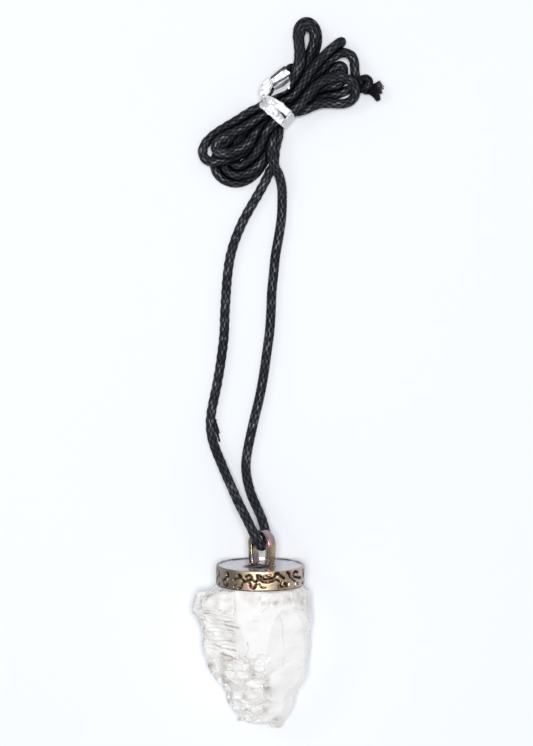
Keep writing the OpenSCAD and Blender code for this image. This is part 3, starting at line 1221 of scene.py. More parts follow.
@dataclass(frozen=True)
class Plait:
    """The cord's round plait: as many strands turning one way as the other."""

    radius: float = 1.09
    depth: float = 0.2
    lay: float = 12.4
    sides: int = 36
    step: float = 0.29
    end_taper: float = 0.6
    own_reach: float = 4.6
    other_reach: float = 4.5
    cleft: float = 1.12

    @staticmethod
    def _strand(rise: Array, number: Array) -> Array:
        """Height of a strand by how it rises over a crossing and how round it is itself."""
        bow = 2.0 * (number - np.floor(number)) - 1.0
        return CROSSING_SHARE * rise + ROUND_SHARE * np.sqrt(1.0 - ROUNDNESS * bow**2)

    def crown(self, turn: Array, along: Array) -> Array:
        """Height of the plaited surface.

        Args:
            turn: Place round the cord, from 0 to 1.
            along: Place along the cord, in millimetres.

        Returns:
            From 0 in the hollows to 1 on the crowns.
        """
        right = STRANDS * (turn - along / self.lay)
        left = STRANDS * (turn + along / self.lay)
        over_right = self._strand(np.sin(np.pi * (left + np.floor(right))), right)
        over_left = self._strand(-np.sin(np.pi * (right + np.floor(left))), left)
        return np.clip(np.maximum(over_right, over_left), 0.0, 1.0)

    def tube(self, name: str, line: Array) -> Work:
        """Weave a closed tube along a line.

        Args:
            name: The piece's name.
            line: The middle line, in millimetres.

        Returns:
            The tube, with the plait's turn and lay as its UV map.
        """
        line = even_steps(line, self.step)
        ahead = unit(np.gradient(line, axis=0))
        turn = np.arange(self.sides) / self.sides
        along = np.arange(len(line)) * line_length(line) / (len(line) - 1)
        reach = self.radius - self.depth * (1.0 - self.crown(turn[None, :], along[:, None]))
        reach[[0, -1]] *= self.end_taper
        ways = ring_ways(ahead, self._carried_sides(ahead), turn)
        rings = line[:, None, :] + ways * reach[:, :, None]
        piece = Work.woven(name, rings.reshape(-1, 3), tube_faces(len(line), self.sides))
        self._unroll(piece, along / self.lay)
        piece.data.shade_smooth()
        # Painted shade: the finish darkens the cord where another strand lies close.
        piece.mark("free", self._freedom(line, rings))
        return piece

    def _freedom(self, line: Array, rings: Array) -> Array:
        """How far each corner lies from the clefts between neighbouring strands, for the painted shade
        there.

        Args:
            line: The tube's middle line, in millimetres.
            rings: The corners round each of its points.

        Returns:
            From 0 where another strand touches to 1 where none is near.
        """
        stops = np.arange(0, len(line), 3)
        away = np.full(rings.shape[:2], self.radius + self.cleft)
        for row, ring in enumerate(rings):
            others = line[stops[np.abs(stops - row) > self.own_reach * self.radius / self.step]]
            gaps = np.linalg.norm(others - line[row], axis=1)
            near = others[gaps < self.other_reach * self.radius]
            if len(near):
                away[row] = np.linalg.norm(ring[:, None, :] - near, axis=2).min(axis=1)
        return smooth(away.ravel() - self.radius, 0.0, self.cleft)

    def _unroll(self, piece: Work, laid: Array) -> None:
        """Give the tube its UV map: once round, and the number of lays along.

        Args:
            piece: The tube.
            laid: How many lays along each ring is.
        """
        column = np.arange(self.sides)
        quads = np.empty((len(laid) - 1, self.sides, 4, 2))
        quads[..., 0] = np.stack([column, column + 1, column + 1, column], axis=1) / self.sides
        quads[..., 1] = np.stack([laid[:-1], laid[:-1], laid[1:], laid[1:]], axis=1)[:, None, :]
        ends = np.zeros((2 * self.sides, 2))
        flat = np.vstack([quads.reshape(-1, 2), ends]).astype(np.float32)
        piece.data.uv_layers.new(name="plait").data.foreach_set("uv", flat.ravel())

    @staticmethod
    def _carried_sides(ahead: Array) -> Array:
        """Carry one side direction along a line without letting it twist.

        Args:
            ahead: The line's direction at each point.

        Returns:
            A direction square to the line at each point.
        """
        sides = unit(np.cross(ahead[:1], (0.0, 0.0, 1.0)))
        carried = [sides[0]]
        for way in ahead[1:]:
            side = carried[-1] - way * np.dot(carried[-1], way)
            carried.append(side / np.linalg.norm(side))
        return np.array(carried)


@dataclass(frozen=True)
class FoldedCord:
    """The whole cord: two tails from the knot, the folded hank and the run to the bail."""

    frame: TieFrame = TieFrame()
    plait: Plait = Plait()
    diameter: float = 2.0
    neck_half: float = 2.3
    neck_side: float = 2.6
    pressed_half: float = 2.8
    near_half: float = 5.06
    settle_step: float = 1.0
    settle_rounds: int = 170
    flare: float = 1.1
    bend: float = 1.3
    unbend: float = 0.3
    push: Point = (0.22, 0.22, 0.38)
    weight: float = 0.012
    recall: Point = (0.975, 0.975, 0.992)
    pressed_gap: float = 0.78
    free_gap: float = 0.97
    smoothing: int = 3
    top: float = 5.0

    def route(self) -> tuple[Array, Array]:
        """Join the folds through the neck.

        Returns:
            Evenly spaced points, and which of them stay in place when the cord settles: the
            run outside the neck, and both ends.
        """
        points: list[Point] = []
        for fold in FOLDS:
            first, last = (self._slot(slot, fold.side) for slot in (fold.first_slot, fold.last_slot))
            points += [*first, *fold.points, *last]
        line = through(np.array(points), self.settle_step)
        run = through(np.array(RUN_ROUTE), 0.5)
        away = np.linalg.norm(line[:, None, :] - run[None, :, :], axis=2).min(axis=1)
        held = (away < 0.3) & (self.frame.inward(line)[:, 0] < -self.neck_half - 0.3)
        held[:3] = True
        held[-3:] = True
        return line, held

    def _slot(self, slot: Flat | None, side: Side) -> list[Point]:
        """The point where a strand passes the neck's end, if it does."""
        places = [] if slot is None else [(side.value * self.neck_half, *slot)]
        return [tuple(self.frame.outward(np.array([place]))[0]) for place in places]

    def settle(self, line: Array, held: Array) -> Array:
        """Let the strands lie on one another and on the floor.

        Args:
            line: The cord's middle line, a point each millimetre.
            held: Which points stay where they are.

        Returns:
            The settled line.
        """
        home = line.copy()
        number = np.arange(len(line)) * self.settle_step
        other = np.abs(np.subtract.outer(number, number)) > 2.4 * self.diameter
        lengthwise = np.abs(self.frame.inward(line)[:, 0])
        pressed, near = lengthwise < self.pressed_half, lengthwise < self.near_half
        room = self.neck_side + self.flare * np.clip(lengthwise[near] - self.neck_half, 0.0, None)
        both = pressed[:, None] & pressed[None, :]
        wanted = np.where(both, self.pressed_gap, self.free_gap) * self.diameter
        for _ in range(self.settle_rounds):
            between = line[:, None, :] - line[None, :, :]
            away = np.linalg.norm(between, axis=2) + 1e-6
            short = np.where(other, np.clip(wanted - away, 0.0, None), 0.0)
            pushed = (between * (short / away)[:, :, None]).sum(axis=1)
            shift = line - home + pushed * np.array(self.push)
            shift[:, 2] -= self.weight
            for _ in range(2):
                shift[1:-1] += eased(shift)
            turning = 4.0 * eased(line)
            sharp = np.linalg.norm(turning, axis=1) + 1e-9
            over = np.clip(1.0 - self.settle_step**2 / self.bend / sharp, 0.0, None)
            shift[1:-1] += self.unbend * over[:, None] * turning
            line = home + shift * np.array(self.recall)
            squeezed = self.frame.inward(line[near])
            squeezed[:, 1] = np.clip(squeezed[:, 1], -room, room)
            line[near] = self.frame.outward(squeezed)
            line[:, 2] = np.clip(line[:, 2], self.plait.radius, self.top)
            line[held] = home[held]
        for _ in range(self.smoothing):
            line[1:-1] += eased(line) * ~held[1:-1, None]
        line[:, 2] = np.maximum(line[:, 2], self.plait.radius)
        return line

    def build(self, finish: Material, friends: Sequence[Piece]) -> None:
        """Args:
            finish: The waxed cotton.
            friends: Not used.
        """
        line = through(self.settle(*self.route()), self.plait.step)
        piece = self.plait.tube("waxed_cord", line)
        piece.hand_over("waxed_cord", [finish], "cord_run", "cord_hank")


# Knot


class Threads:
    """A growing bundle of fine loose threads, made one piece at the end."""

    sides: int = 5
    stations: int = 7
    tip: float = 0.55
    lowest: float = 0.02

    def __init__(self, seed: int) -> None:
        """Start a bundle with its own random numbers."""
        self.rng = np.random.default_rng(seed)
        self.corners: list[Array] = []
        self.faces: list[Face] = []
        self.tones: list[Array] = []

    def add(self, line: Array, radius: float, tone: Array) -> None:
        """Add one thread.

        Args:
            line: Its middle line, a point for each station.
            radius: Its radius at the root, in millimetres.
            tone: How pale it is at each station.
        """
        ahead = unit(np.gradient(line, axis=0))
        side = unit(np.cross(ahead, (0.3, 0.2, 1.0)))
        ways = ring_ways(ahead, side, np.arange(self.sides) / self.sides)
        taper = np.linspace(1.0, self.tip, self.stations)[:, None, None] * radius
        base = len(self.corners) * self.sides * self.stations
        self.corners.append((line[:, None, :] + ways * taper).reshape(-1, 3))
        self.faces += tube_faces(self.stations, self.sides, base)
        self.tones.append(np.repeat(tone, self.sides))

    def made(self, name: str, finish: Material) -> Piece:
        """Make the piece and hand it over.

        Args:
            name: The piece's name.
            finish: The frayed cotton.

        Returns:
            The piece.
        """
        corners = np.vstack(self.corners)
        corners[:, 2] = np.clip(corners[:, 2], self.lowest, None)
        piece = Work.woven(name, corners, self.faces)
        piece.mark("tone", np.concatenate(self.tones))
        piece.data.shade_smooth()
        return piece.hand_over("waxed_cord", [finish])


@dataclass(frozen=True)
class EndKnot:
    """The knot that joins the cord's two ends, with the ends frayed out beyond it."""

    plait: Plait = Plait(radius=0.96, lay=10.0, sides=32, step=0.16)
    turns: tuple[Point, ...] = (
        (25.2, 120.8, 1.9), (24.6, 120.2, 1.3), (24.15, 121, 1.2), (24.35, 122, 1.7), (25.2, 122.4, 2.3),
        (26, 121.9, 2.8), (25.95, 121, 3.05), (25.2, 120.15, 3.05), (24.5, 119.95, 2.5), (24.3, 120.7, 2),
        (24.9, 121.4, 1.5), (25.8, 121.2, 1.1), (26.15, 120.4, 1.2), (25.8, 119.75, 1.7),
        (25.1, 119.85, 2.2), (25.1, 120.7, 2),
    )
    root: Point = (26.1, 119.95, 1.75)
    root_reach: Flat = (1.0, 0.95)
    mouth_lift: float = 1.45
    bell: tuple[Flat, ...] = (
        (28.0, 117.4), (28.5, 118.0), (28.8, 118.9), (28.95, 119.8), (29.05, 120.7), (28.85, 121.75),
    )
    fibres: int = 520
    locks: int = 11
    bits: tuple[Point, ...] = ((29.42, 120.85, 0.12), (29.35, 120.35, 0.12))
    core_reach: float = 0.8
    core_sides: int = 48
    core_rings: int = 9
    snags: tuple[tuple[Point, Point], ...] = (
        ((-8.35, 46.2, 1.3), (-7.5, 43.1, 0.9)),
        ((-8.2, 44.4, 1.3), (-7.3, 41.5, 0.8)),
    )
    snagged: int = 11
    fray_seed: int = 7
    snag_seed: int = 19

    def build_turns(self, finish: Material) -> Piece:
        """Make the wound part of the knot.

        Args:
            finish: The waxed cotton.

        Returns:
            The piece.
        """
        line = through(np.array(self.turns), self.plait.step)
        for _ in range(6):
            line[1:-1] += eased(line)
        line[:, 2] = np.clip(line[:, 2], self.plait.radius + 0.02, None)
        piece = self.plait.tube("end_knot_turns", line)
        return piece.hand_over("waxed_cord", [finish], "end_knot")

    def _tip(self, spread: Array, lift: Array, reach: Array) -> Array:
        """Where the bell of frayed ends goes.

        Args:
            spread: Place across the mouth, from -1 at its near side to 1 at its far side.
            lift: Place up the mouth, from -1 to 1.
            reach: Share of the way from the root.

        Returns:
            The places, one row each.
        """
        x, y, z = self.root
        marks = np.linspace(-1.0, 1.0, len(self.bell))
        ends = [np.interp(spread, marks, side) for side in np.array(self.bell).T]
        width, rise = self.root_reach
        root = np.column_stack([np.full(len(spread), x), y + width * spread, z + rise * lift])
        end = np.column_stack([*ends, z - 0.1 + self.mouth_lift * lift])
        return root + (end - root) * reach[:, None] ** np.array([1.0, 1.5, 1.3])

    def build_frayed(self, finish: Material) -> Piece:
        """Make the frayed ends: a dense bell of fine threads.

        Args:
            finish: The frayed cotton.

        Returns:
            The piece.
        """
        bundle = Threads(self.fray_seed)
        rng, count = bundle.rng, bundle.stations
        share, ones = np.linspace(0.0, 1.0, count), np.ones(count)
        longest = rng.uniform(0.8, 1.06, self.locks)
        for _ in range(self.fibres):
            lock = rng.integers(self.locks)
            middle = 2.0 * lock / (self.locks - 1) - 1.0
            spread = float(np.clip(middle + rng.normal(0.0, 0.07), -1.0, 1.0))
            lift = rng.uniform(-1.0, 1.0) * math.sqrt(1.0 - 0.8 * spread * spread)
            reach = share * longest[lock] * rng.uniform(0.88, 1.03)
            line = self._tip(spread * ones, lift * ones, reach)
            line += rng.normal(0.0, 0.09, (count, 3)) * share[:, None]
            line[:, 1] += rng.normal(0.0, 0.16) * share**2
            pale = rng.uniform(0.35, 1.0) if spread > 0.1 and rng.random() < 0.65 else 0.06
            if 0.1 > spread > -0.3 and rng.random() < 0.12:
                pale = 1.0
            bundle.add(line, rng.uniform(0.06, 0.1), pale * smooth(share, 0.62, 0.92))
        for place in self.bits:
            bit = np.array(place) + np.outer(share - 0.5, (0.22, 0.12, 0.0))
            bundle.add(bit, 0.16, np.zeros(count))
        return bundle.made("frayed_ends", finish)

    def build_core(self, finish: Material) -> Piece:
        """Fill the tuft's middle with a fluted bell, so that it is as dense as the real one.

        Args:
            finish: The frayed cotton.

        Returns:
            The piece.
        """
        around = np.linspace(0.0, 2.0 * np.pi, self.core_sides, endpoint=False)
        rings = []
        for reach in np.linspace(0.0, self.core_reach, self.core_rings):
            flute = 0.82 + 0.1 * np.sin(9.0 * around + 2.0 * reach) + 0.05 * np.sin(17.0 * around)
            spread, lift = np.cos(around) * flute, np.sin(around) * flute
            rings.append(self._tip(spread, lift, np.full(len(around), reach)))
        corners = np.vstack(rings)
        corners[:, 2] = np.clip(corners[:, 2], 0.03, None)
        faces = tube_faces(self.core_rings, self.core_sides)
        piece = Work.woven("frayed_core", corners, faces)
        piece.edit()
        bpy.ops.mesh.normals_make_consistent(inside=False)
        Work.leave()
        piece.mark("tone", np.zeros(len(corners)))
        piece.soften(60.0)
        return piece.hand_over("waxed_cord", [finish])

    def build_snag(self, finish: Material) -> Piece:
        """Pull a few threads out of the cord's bend, where the plait is chafed.

        Args:
            finish: The frayed cotton.

        Returns:
            The piece.
        """
        bundle = Threads(self.snag_seed)
        rng, share = bundle.rng, np.linspace(0.0, 1.0, bundle.stations)
        for start, end in self.snags:
            for _ in range(self.snagged):
                head = np.array(start) + rng.normal(0.0, 0.16, 3)
                tip = np.array(end) + rng.normal(0.0, 0.14, 3)
                line = head + np.outer(share, tip - head)
                line[:, 0] += 0.16 * np.sin(np.pi * share) * rng.uniform(-1.0, 1.0)
                bundle.add(line, 0.09, np.full(bundle.stations, 0.06))
        return bundle.made("chafed_threads", finish)


# Tie


@dataclass(frozen=True)
class TieTurn:
    """One turn of the strip: its near and far edges, as across and along the neck."""

    near: tuple[Flat, ...]
    far: tuple[Flat, ...]
    swell: float
    seed: int


@dataclass(frozen=True)
class TieTail:
    """One loose end of the strip: its ribs from root to tip, and how dark the painted reflection on each
    pleat is.
    """

    ribs: tuple[tuple[Point, Point, Point], ...]
    tones: tuple[float, ...]
    seed: int


@dataclass(frozen=True)
class FoilTie:
    """The crumpled bright strip that is wound round the hank and twisted shut."""

    frame: TieFrame = TieFrame()
    thickness: float = 0.1
    tail_thickness: float = 0.06
    smooth_angle: float = 24.0
    top: float = 6.95
    middle: float = 3.2
    columns: int = 34
    around_step: float = 0.085
    tail_stations: int = 46
    pleat_rows: int = 9
    outline: tuple[Flat, ...] = (
        (4.2, 2.8), (4.05, 4.6), (3.4, 5.9), (2.4, 6.35), (0, 6.5), (-1.5, 6.45), (-3, 6.3), (-4, 5),
        (-4.15, 2.8), (-3.75, 0.9), (-2.5, 0.14), (2.5, 0.14), (3.75, 0.9),
    )
    turns: tuple[TieTurn, ...] = (
        TieTurn(
            ((-4.2, -2.12), (3.0, -2.1), (3.8, -1.65), (4.3, -1.3)),
            (
                (-4.2, 0.35), (-3.05, 0.25), (-2.75, -0.42), (-1.8, -0.2), (-0.9, 0.06), (0.5, 0.3),
                (4.2, 0.3),
            ),
            swell=0.0,
            seed=21,
        ),
        TieTurn(
            (
                (-4.2, -0.5), (-3.05, -0.35), (-2.8, 0.2), (-1.8, 0.2), (-0.9, 0.06), (0.5, -0.15),
                (4.2, -0.6),
            ),
            (
                (-4.2, 1.3), (-2.9, 1.75), (-1.7, 1.74), (-0.6, 1.9), (0.6, 1.8), (2.8, 1.35),
                (4.1, 0.83),
            ),
            swell=0.1,
            seed=34,
        ),
    )
    # Painted shade and reflection: grey and dark patches on the band, as half width, strength and points on
    # the band.
    marks: tuple[Stroke, ...] = (
        (0.14, 0.9, ((-0.9, 3.3),)), (0.8, 0.36, ((-0.8, 3.6), (-1.1, 1.9))),
        (0.4, 0.26, ((0.5, 2.9), (0.9, 1.4))), (0.1, 0.9, ((-0.6, 3.8), (-0.8, 3.7))),
        (0.4, 0.4, ((0.9, 0.6), (1, 1.2))), (0.07, 0.6, ((-0.05, 1.85), (0.22, 1.06), (0.39, -0.35))),
        (0.09, 0.6, ((-0.17, -0.18),)),
        (0.08, 0.75, ((1.5, -2.77), (0.1, -2.8), (-1.2, -2.95), (-1.76, -3.04))),
        (0.45, 0.2, ((1.2, -3.6), (-1.6, -3.7))), (0.1, 0.5, ((-1.6, 3.7), (-1.9, 3))),
    )
    tails: tuple[TieTail, ...] = (
        TieTail(
            (
                ((4.09, 122.22, 6.30), (5.52, 123.40, 6.50), (7.12, 124.70, 6.40)),
                ((4.24, 121.53, 7.20), (6.31, 123.15, 7.30), (7.69, 123.85, 7.10)),
                ((4.73, 120.83, 6.95), (6.31, 121.62, 7.00), (8.43, 122.86, 6.90)),
                ((4.73, 119.95, 6.30), (6.31, 121.13, 6.35), (8.09, 122.27, 6.30)),
                ((4.88, 119.70, 6.70), (6.51, 120.83, 6.70), (8.27, 122.02, 6.60)),
            ),
            tones=(1.0, 0.0, 1.0, 0.0),
            seed=5,
        ),
        TieTail(
            (
                ((4.88, 119.65, 6.15), (6.51, 120.76, 6.15), (8.31, 121.90, 6.10)),
                ((4.93, 119.16, 6.80), (6.81, 119.95, 6.75), (8.43, 121.23, 6.40)),
                ((4.20, 117.95, 6.20), (6.31, 118.86, 6.10), (8.24, 119.63, 5.90)),
            ),
            tones=(0.9, 0.0),
            seed=9,
        ),
    )
    twist_place: Point = (3.2, 119.9, 6.45)
    twist_angle: float = 62.0
    twist_half: Point = (2.3, 1.2, 0.55)

    def _band(self, name: str, turn: TieTurn) -> Work:
        """Wind one turn of the strip round the neck.

        Args:
            name: The piece's name.
            turn: Its edges, how far it stands off the hank, and its creases.

        Returns:
            The crumpled band.
        """
        loop = np.array([(0.0, *point) for point in (*self.outline, self.outline[0])])
        loop = even_steps(loop, self.around_step)[:-1]
        _, across, up = loop.T
        _, right, rise = (np.roll(loop, -1, axis=0) - np.roll(loop, 1, axis=0)).T
        out = unit(np.column_stack([np.zeros(len(loop)), rise, -right]))
        out *= np.sign((out * (loop - [0.0, 0.0, self.middle])).sum(axis=1))[:, None]
        ragged = np.column_stack([across, up, np.full(len(loop), turn.seed)])
        near, far = (
            np.interp(across, *np.array(edge).T) + 0.1 * soft_noise(ragged + apart, 0.8, turn.seed)
            for edge, apart in ((turn.near, 0), (turn.far, 9))
        )
        share = np.linspace(0.0, 1.0, self.columns)
        flat = np.repeat(loop, self.columns, axis=0)
        flat[:, 0] = (near[:, None] + (far - near)[:, None] * share).ravel()
        _, slope, border = broken_cells(flat * np.array([1.0, 0.8, 0.8]), 1.25, turn.seed)
        sharp = 1.0 - np.abs(soft_noise(flat, 1.1, turn.seed))
        edge = np.clip(np.tile(np.minimum(share, 1.0 - share) / 0.16, len(loop)), 0.0, 1.0)
        raised = 0.2 * slope + 0.12 * (sharp - 0.6) + turn.swell - 0.12 * (1.0 - edge) ** 2
        local = flat + np.repeat(out, self.columns, axis=0) * raised[:, None]
        local[:, 2] = np.clip(local[:, 2], 0.06, self.top)
        faces = sheet_faces(len(loop), self.columns, closed=True)
        piece = Work.woven(name, self.frame.outward(local), faces)
        # Painted shade and reflection from the marks, on the band's upper part only.
        dark = drawn(flat[:, :2], self.marks, 0.07) * smooth(flat[:, 2], 3.5, 4.5)
        # Painted shade along the fold lines and in the hollows of the crumple.
        folds = smooth(border, 0.1, 0.0) * 0.35 + np.clip((0.5 - sharp) * 1.2, 0.0, 0.5)
        piece.mark("foil_shade", np.maximum(dark, folds))
        piece.modify("SOLIDIFY", thickness=self.thickness * MM, offset=-1.0)
        return piece

    def _tail(self, name: str, tail: TieTail) -> Work:
        """Pleat one loose end of the strip between its ribs.

        Args:
            name: The piece's name.
            tail: Its ribs and tones.

        Returns:
            The pleated end.
        """
        stations = self.tail_stations
        ribs = [np.array(rib) for rib in tail.ribs]
        lines = [even_steps(rib, line_length(rib) / (stations - 1)) for rib in ribs]
        rows, tones = [], []
        for first, last, tone in zip(lines, lines[1:], tail.tones):
            for part in range(self.pleat_rows):
                rows.append(first + (last - first) * part / self.pleat_rows)
                tones.append(tone if part else tone * 0.6)
        rows.append(lines[-1])
        tones.append(tones[-1])
        flat = np.vstack(rows)
        coarse, fine = (soft_noise(flat, size, tail.seed) for size in (0.75, 0.3))
        flat[:, 2] += coarse * 0.13 + fine * 0.05
        share = np.tile(np.linspace(0.0, 1.0, stations), len(rows))
        ragged = soft_noise(flat * np.array([0.2, 1.0, 0.0]), 0.4, tail.seed + 1) * share**4
        flat += ragged[:, None] * np.array([0.2, 0.1, 0.0])
        piece = Work.woven(name, flat, sheet_faces(len(rows), stations))
        # Painted reflection: pleats turned away from the light are painted dark.
        shade = np.repeat(tones, stations) * (1.0 + 0.3 * soft_noise(flat, 0.5, tail.seed + 2))
        piece.mark("foil_shade", np.clip(shade, 0.0, 1.0))
        piece.modify("SOLIDIFY", thickness=self.tail_thickness * MM, offset=0.0)
        return piece

    def _twist(self) -> Work:
        """Crumple the strip where it is twisted shut: a fluted, dented lump.

        Returns:
            The lump.
        """
        Work.clear()
        bpy.ops.mesh.primitive_uv_sphere_add(segments=96, ring_count=56, radius=1.0)
        lump = Work.started("tie_twist")
        corners = lump.read("co")
        angle = np.arctan2(corners[:, 1], corners[:, 2])
        wound = angle + 0.9 * corners[:, 0] + 0.5 * soft_noise(corners, 0.8, 3)
        flute = np.abs(np.sin(3.0 * wound))
        dent = 1.0 - np.abs(soft_noise(corners * np.array([1.0, 1.4, 1.4]), 0.5, 12))
        corners *= (0.84 + 0.14 * flute + 0.14 * (dent - 0.6))[:, None]
        lump.move_corners(corners * np.array(self.twist_half))
        # Painted shade in the flutes' valleys and in the dents.
        valley_shade = np.clip((0.2 - flute) * 2.2, 0.0, 0.4) + np.clip((0.42 - dent) * 3.2, 0.0, 0.95)
        lump.mark("foil_shade", np.clip(valley_shade, 0.0, 0.95))
        turn = Matrix.Rotation(math.radians(self.twist_angle), 4, "Z")
        lump.place(Matrix.Translation(self.twist_place) @ turn)
        return lump

    def build(self, finish: Material) -> list[Piece]:
        """Make the tie's pieces.

        Args:
            finish: The foil.

        Returns:
            The pieces.
        """
        names = ("tie_lower_turn", "tie_upper_turn")
        pieces = [self._band(name, turn) for name, turn in zip(names, self.turns)]
        pieces.append(self._twist())
        pieces += [self._tail(f"tie_tail_{n}", tail) for n, tail in enumerate(self.tails, 1)]
        for piece in pieces:
            piece.soften(self.smooth_angle)
            nodes = ("tie_strip",) if piece is pieces[0] else ()
            piece.hand_over("tie_foil", [finish], *nodes)
        return [piece.piece for piece in pieces]


# Cap


@dataclass(frozen=True)
class RimPattern:
    """The scrolled strip round the cap: half its way round, in degrees and millimetres up."""

    strokes: tuple[Stroke, ...] = (
        (0.28, 1, ((-69, 3.5), (-67, 3), (-68, 2.3))), (0.44, 1.25, ((-48, 3.4), (-47, 3.1))),
        (0.23, 1, ((-48, 2.8), (-52, 2.2), (-59, 1.5))), (0.18, 1, ((-47, 2.7), (-46, 2))),
        (0.24, 1, ((-59, 1.8), (-55, 1), (-50, 0.6), (-47, 1.2))), (0.28, 1, ((-69, 0.6), (-67, 0.7))),
        (0.44, 1.25, ((-28, 3.3), (-27, 3.1))), (0.24, 1, ((-28, 2.9), (-32, 2.6), (-36, 2.3))),
        (0.24, 1, (
            (-27, 3), (-24, 2.6), (-20, 2.1), (-16, 2.5), (-11, 2.7), (-12, 3.3), (-15, 3.5), (-19, 3.2),
        )),
        (0.22, 1, ((-20, 2.1), (-24, 1.7), (-25, 0.8), (-29, 0.5))),
        (0.18, 0.9, ((-34, 2.1), (-33, 1.5), (-36, 0.8))),
        (0.24, 1, ((-16, 2.1), (-13, 1.7), (-12, 0.9), (-9, 0.6), (-7, 1), (-5, 1.6))),
        (0.26, 1, ((-11, 2.6), (-7, 2.2), (-3, 2.5), (-3, 3), (-4, 3.5), (0, 3.4), (2, 2.9))),
        (0.28, 1, ((1, 2.9), (7, 2.7), (15, 2.9), (19, 3.2), (21, 3.6))),
        (0.22, 0.9, ((1, 2.4), (7, 2), (14, 2.1), (21, 2.5), (25, 2.1))),
        (0.3, 1.1, ((20, 3.8), (25, 3.7), (30, 3), (33, 2.7))),
        (0.33, 1.2, ((38, 3.8), (41, 3.4), (42, 2.8))),
        (0.26, 1.1, ((57, 3.5), (52, 3.8), (48, 3.3), (50, 2.7), (57, 2.4), (67, 2))),
        (0.38, 1.2, ((74, 3.5), (75, 2.3))), (0.32, 1.1, ((33, 1.5), (37, 1.3))),
        (0.2, 0.9, ((29, 2), (27, 1.3), (30, 0.8), (38, 0.9), (40, 1.5))),
        (0.2, 1, ((42, 2.8), (46, 2.2), (50, 1.8), (52, 1.3), (51, 0.7))),
        (0.24, 1.1, ((57, 1.1), (58, 0.9))), (0.3, 1.1, ((71, 0.9), (73, 0.7))),
        (0.16, 0.7, ((5, 3.4), (9, 3.5), (14, 3.5))), (0.16, 0.7, ((-1, 1.6), (1, 1), (7, 0.8))),
        (0.16, 0.7, ((24, 1.2), (25, 0.5))),
        (0.22, 1, ((75, 2.3), (80, 3), (86, 3.1), (91, 2.2), (96, 1.3), (102, 1.3), (107, 2.2))),
        (0.2, 1, ((86, 3.1), (88, 3.8), (84, 3.9), (83, 3.5))),
        (0.2, 1, ((96, 1.3), (93, 0.6), (98, 0.5), (99, 0.8))),
        (0.2, 0.9, ((91, 2.2), (95, 2.9), (100, 3.1))), (0.2, 0.9, ((91, 2.2), (87, 1.5), (82, 1.2))),
        (0.34, 1.2, ((102, 3.6),)), (0.3, 1.2, ((80, 0.7),)),
    )
    halo: float = 0.28
    halo_strength: float = 0.44
    first_degree: float = -72.0
    curve_step: float = 0.22

    def depth(self, around: Array, up: Array, radius: float) -> tuple[Array, Array]:
        """How deep the pattern is cut, and how dark it has gone round it.

        Args:
            around: Degrees round the cap from the top of the lying cap.
            up: Millimetres above the rim's lower edge.
            radius: The rim's outer radius.

        Returns:
            The share of the full depth, and of the full darkness.
        """
        scale = math.radians(radius)
        folded = ((around - self.first_degree) % 180.0 + self.first_degree) * scale
        rough = np.column_stack([folded, up, up])
        shaken = np.column_stack([soft_noise(rough, 0.6, seed) for seed in (61, 62)])
        place = rough[:, :2] + 0.06 * shaken
        strokes = []
        for half, strength, points in self.strokes:
            marks = np.array([(degrees * scale, high, 0.0) for degrees, high in points])
            curve = through(marks, self.curve_step) if len(marks) > 1 else marks
            strokes.append((half, strength, tuple(map(tuple, curve[:, :2]))))
        wider = [(half + self.halo, self.halo_strength, points) for half, _, points in strokes]
        deep = drawn(place, strokes, 0.14) * (1.0 + 0.15 * soft_noise(rough, 0.45, 63))
        return deep, np.maximum(0.68 * deep, drawn(place, wider, 0.3))


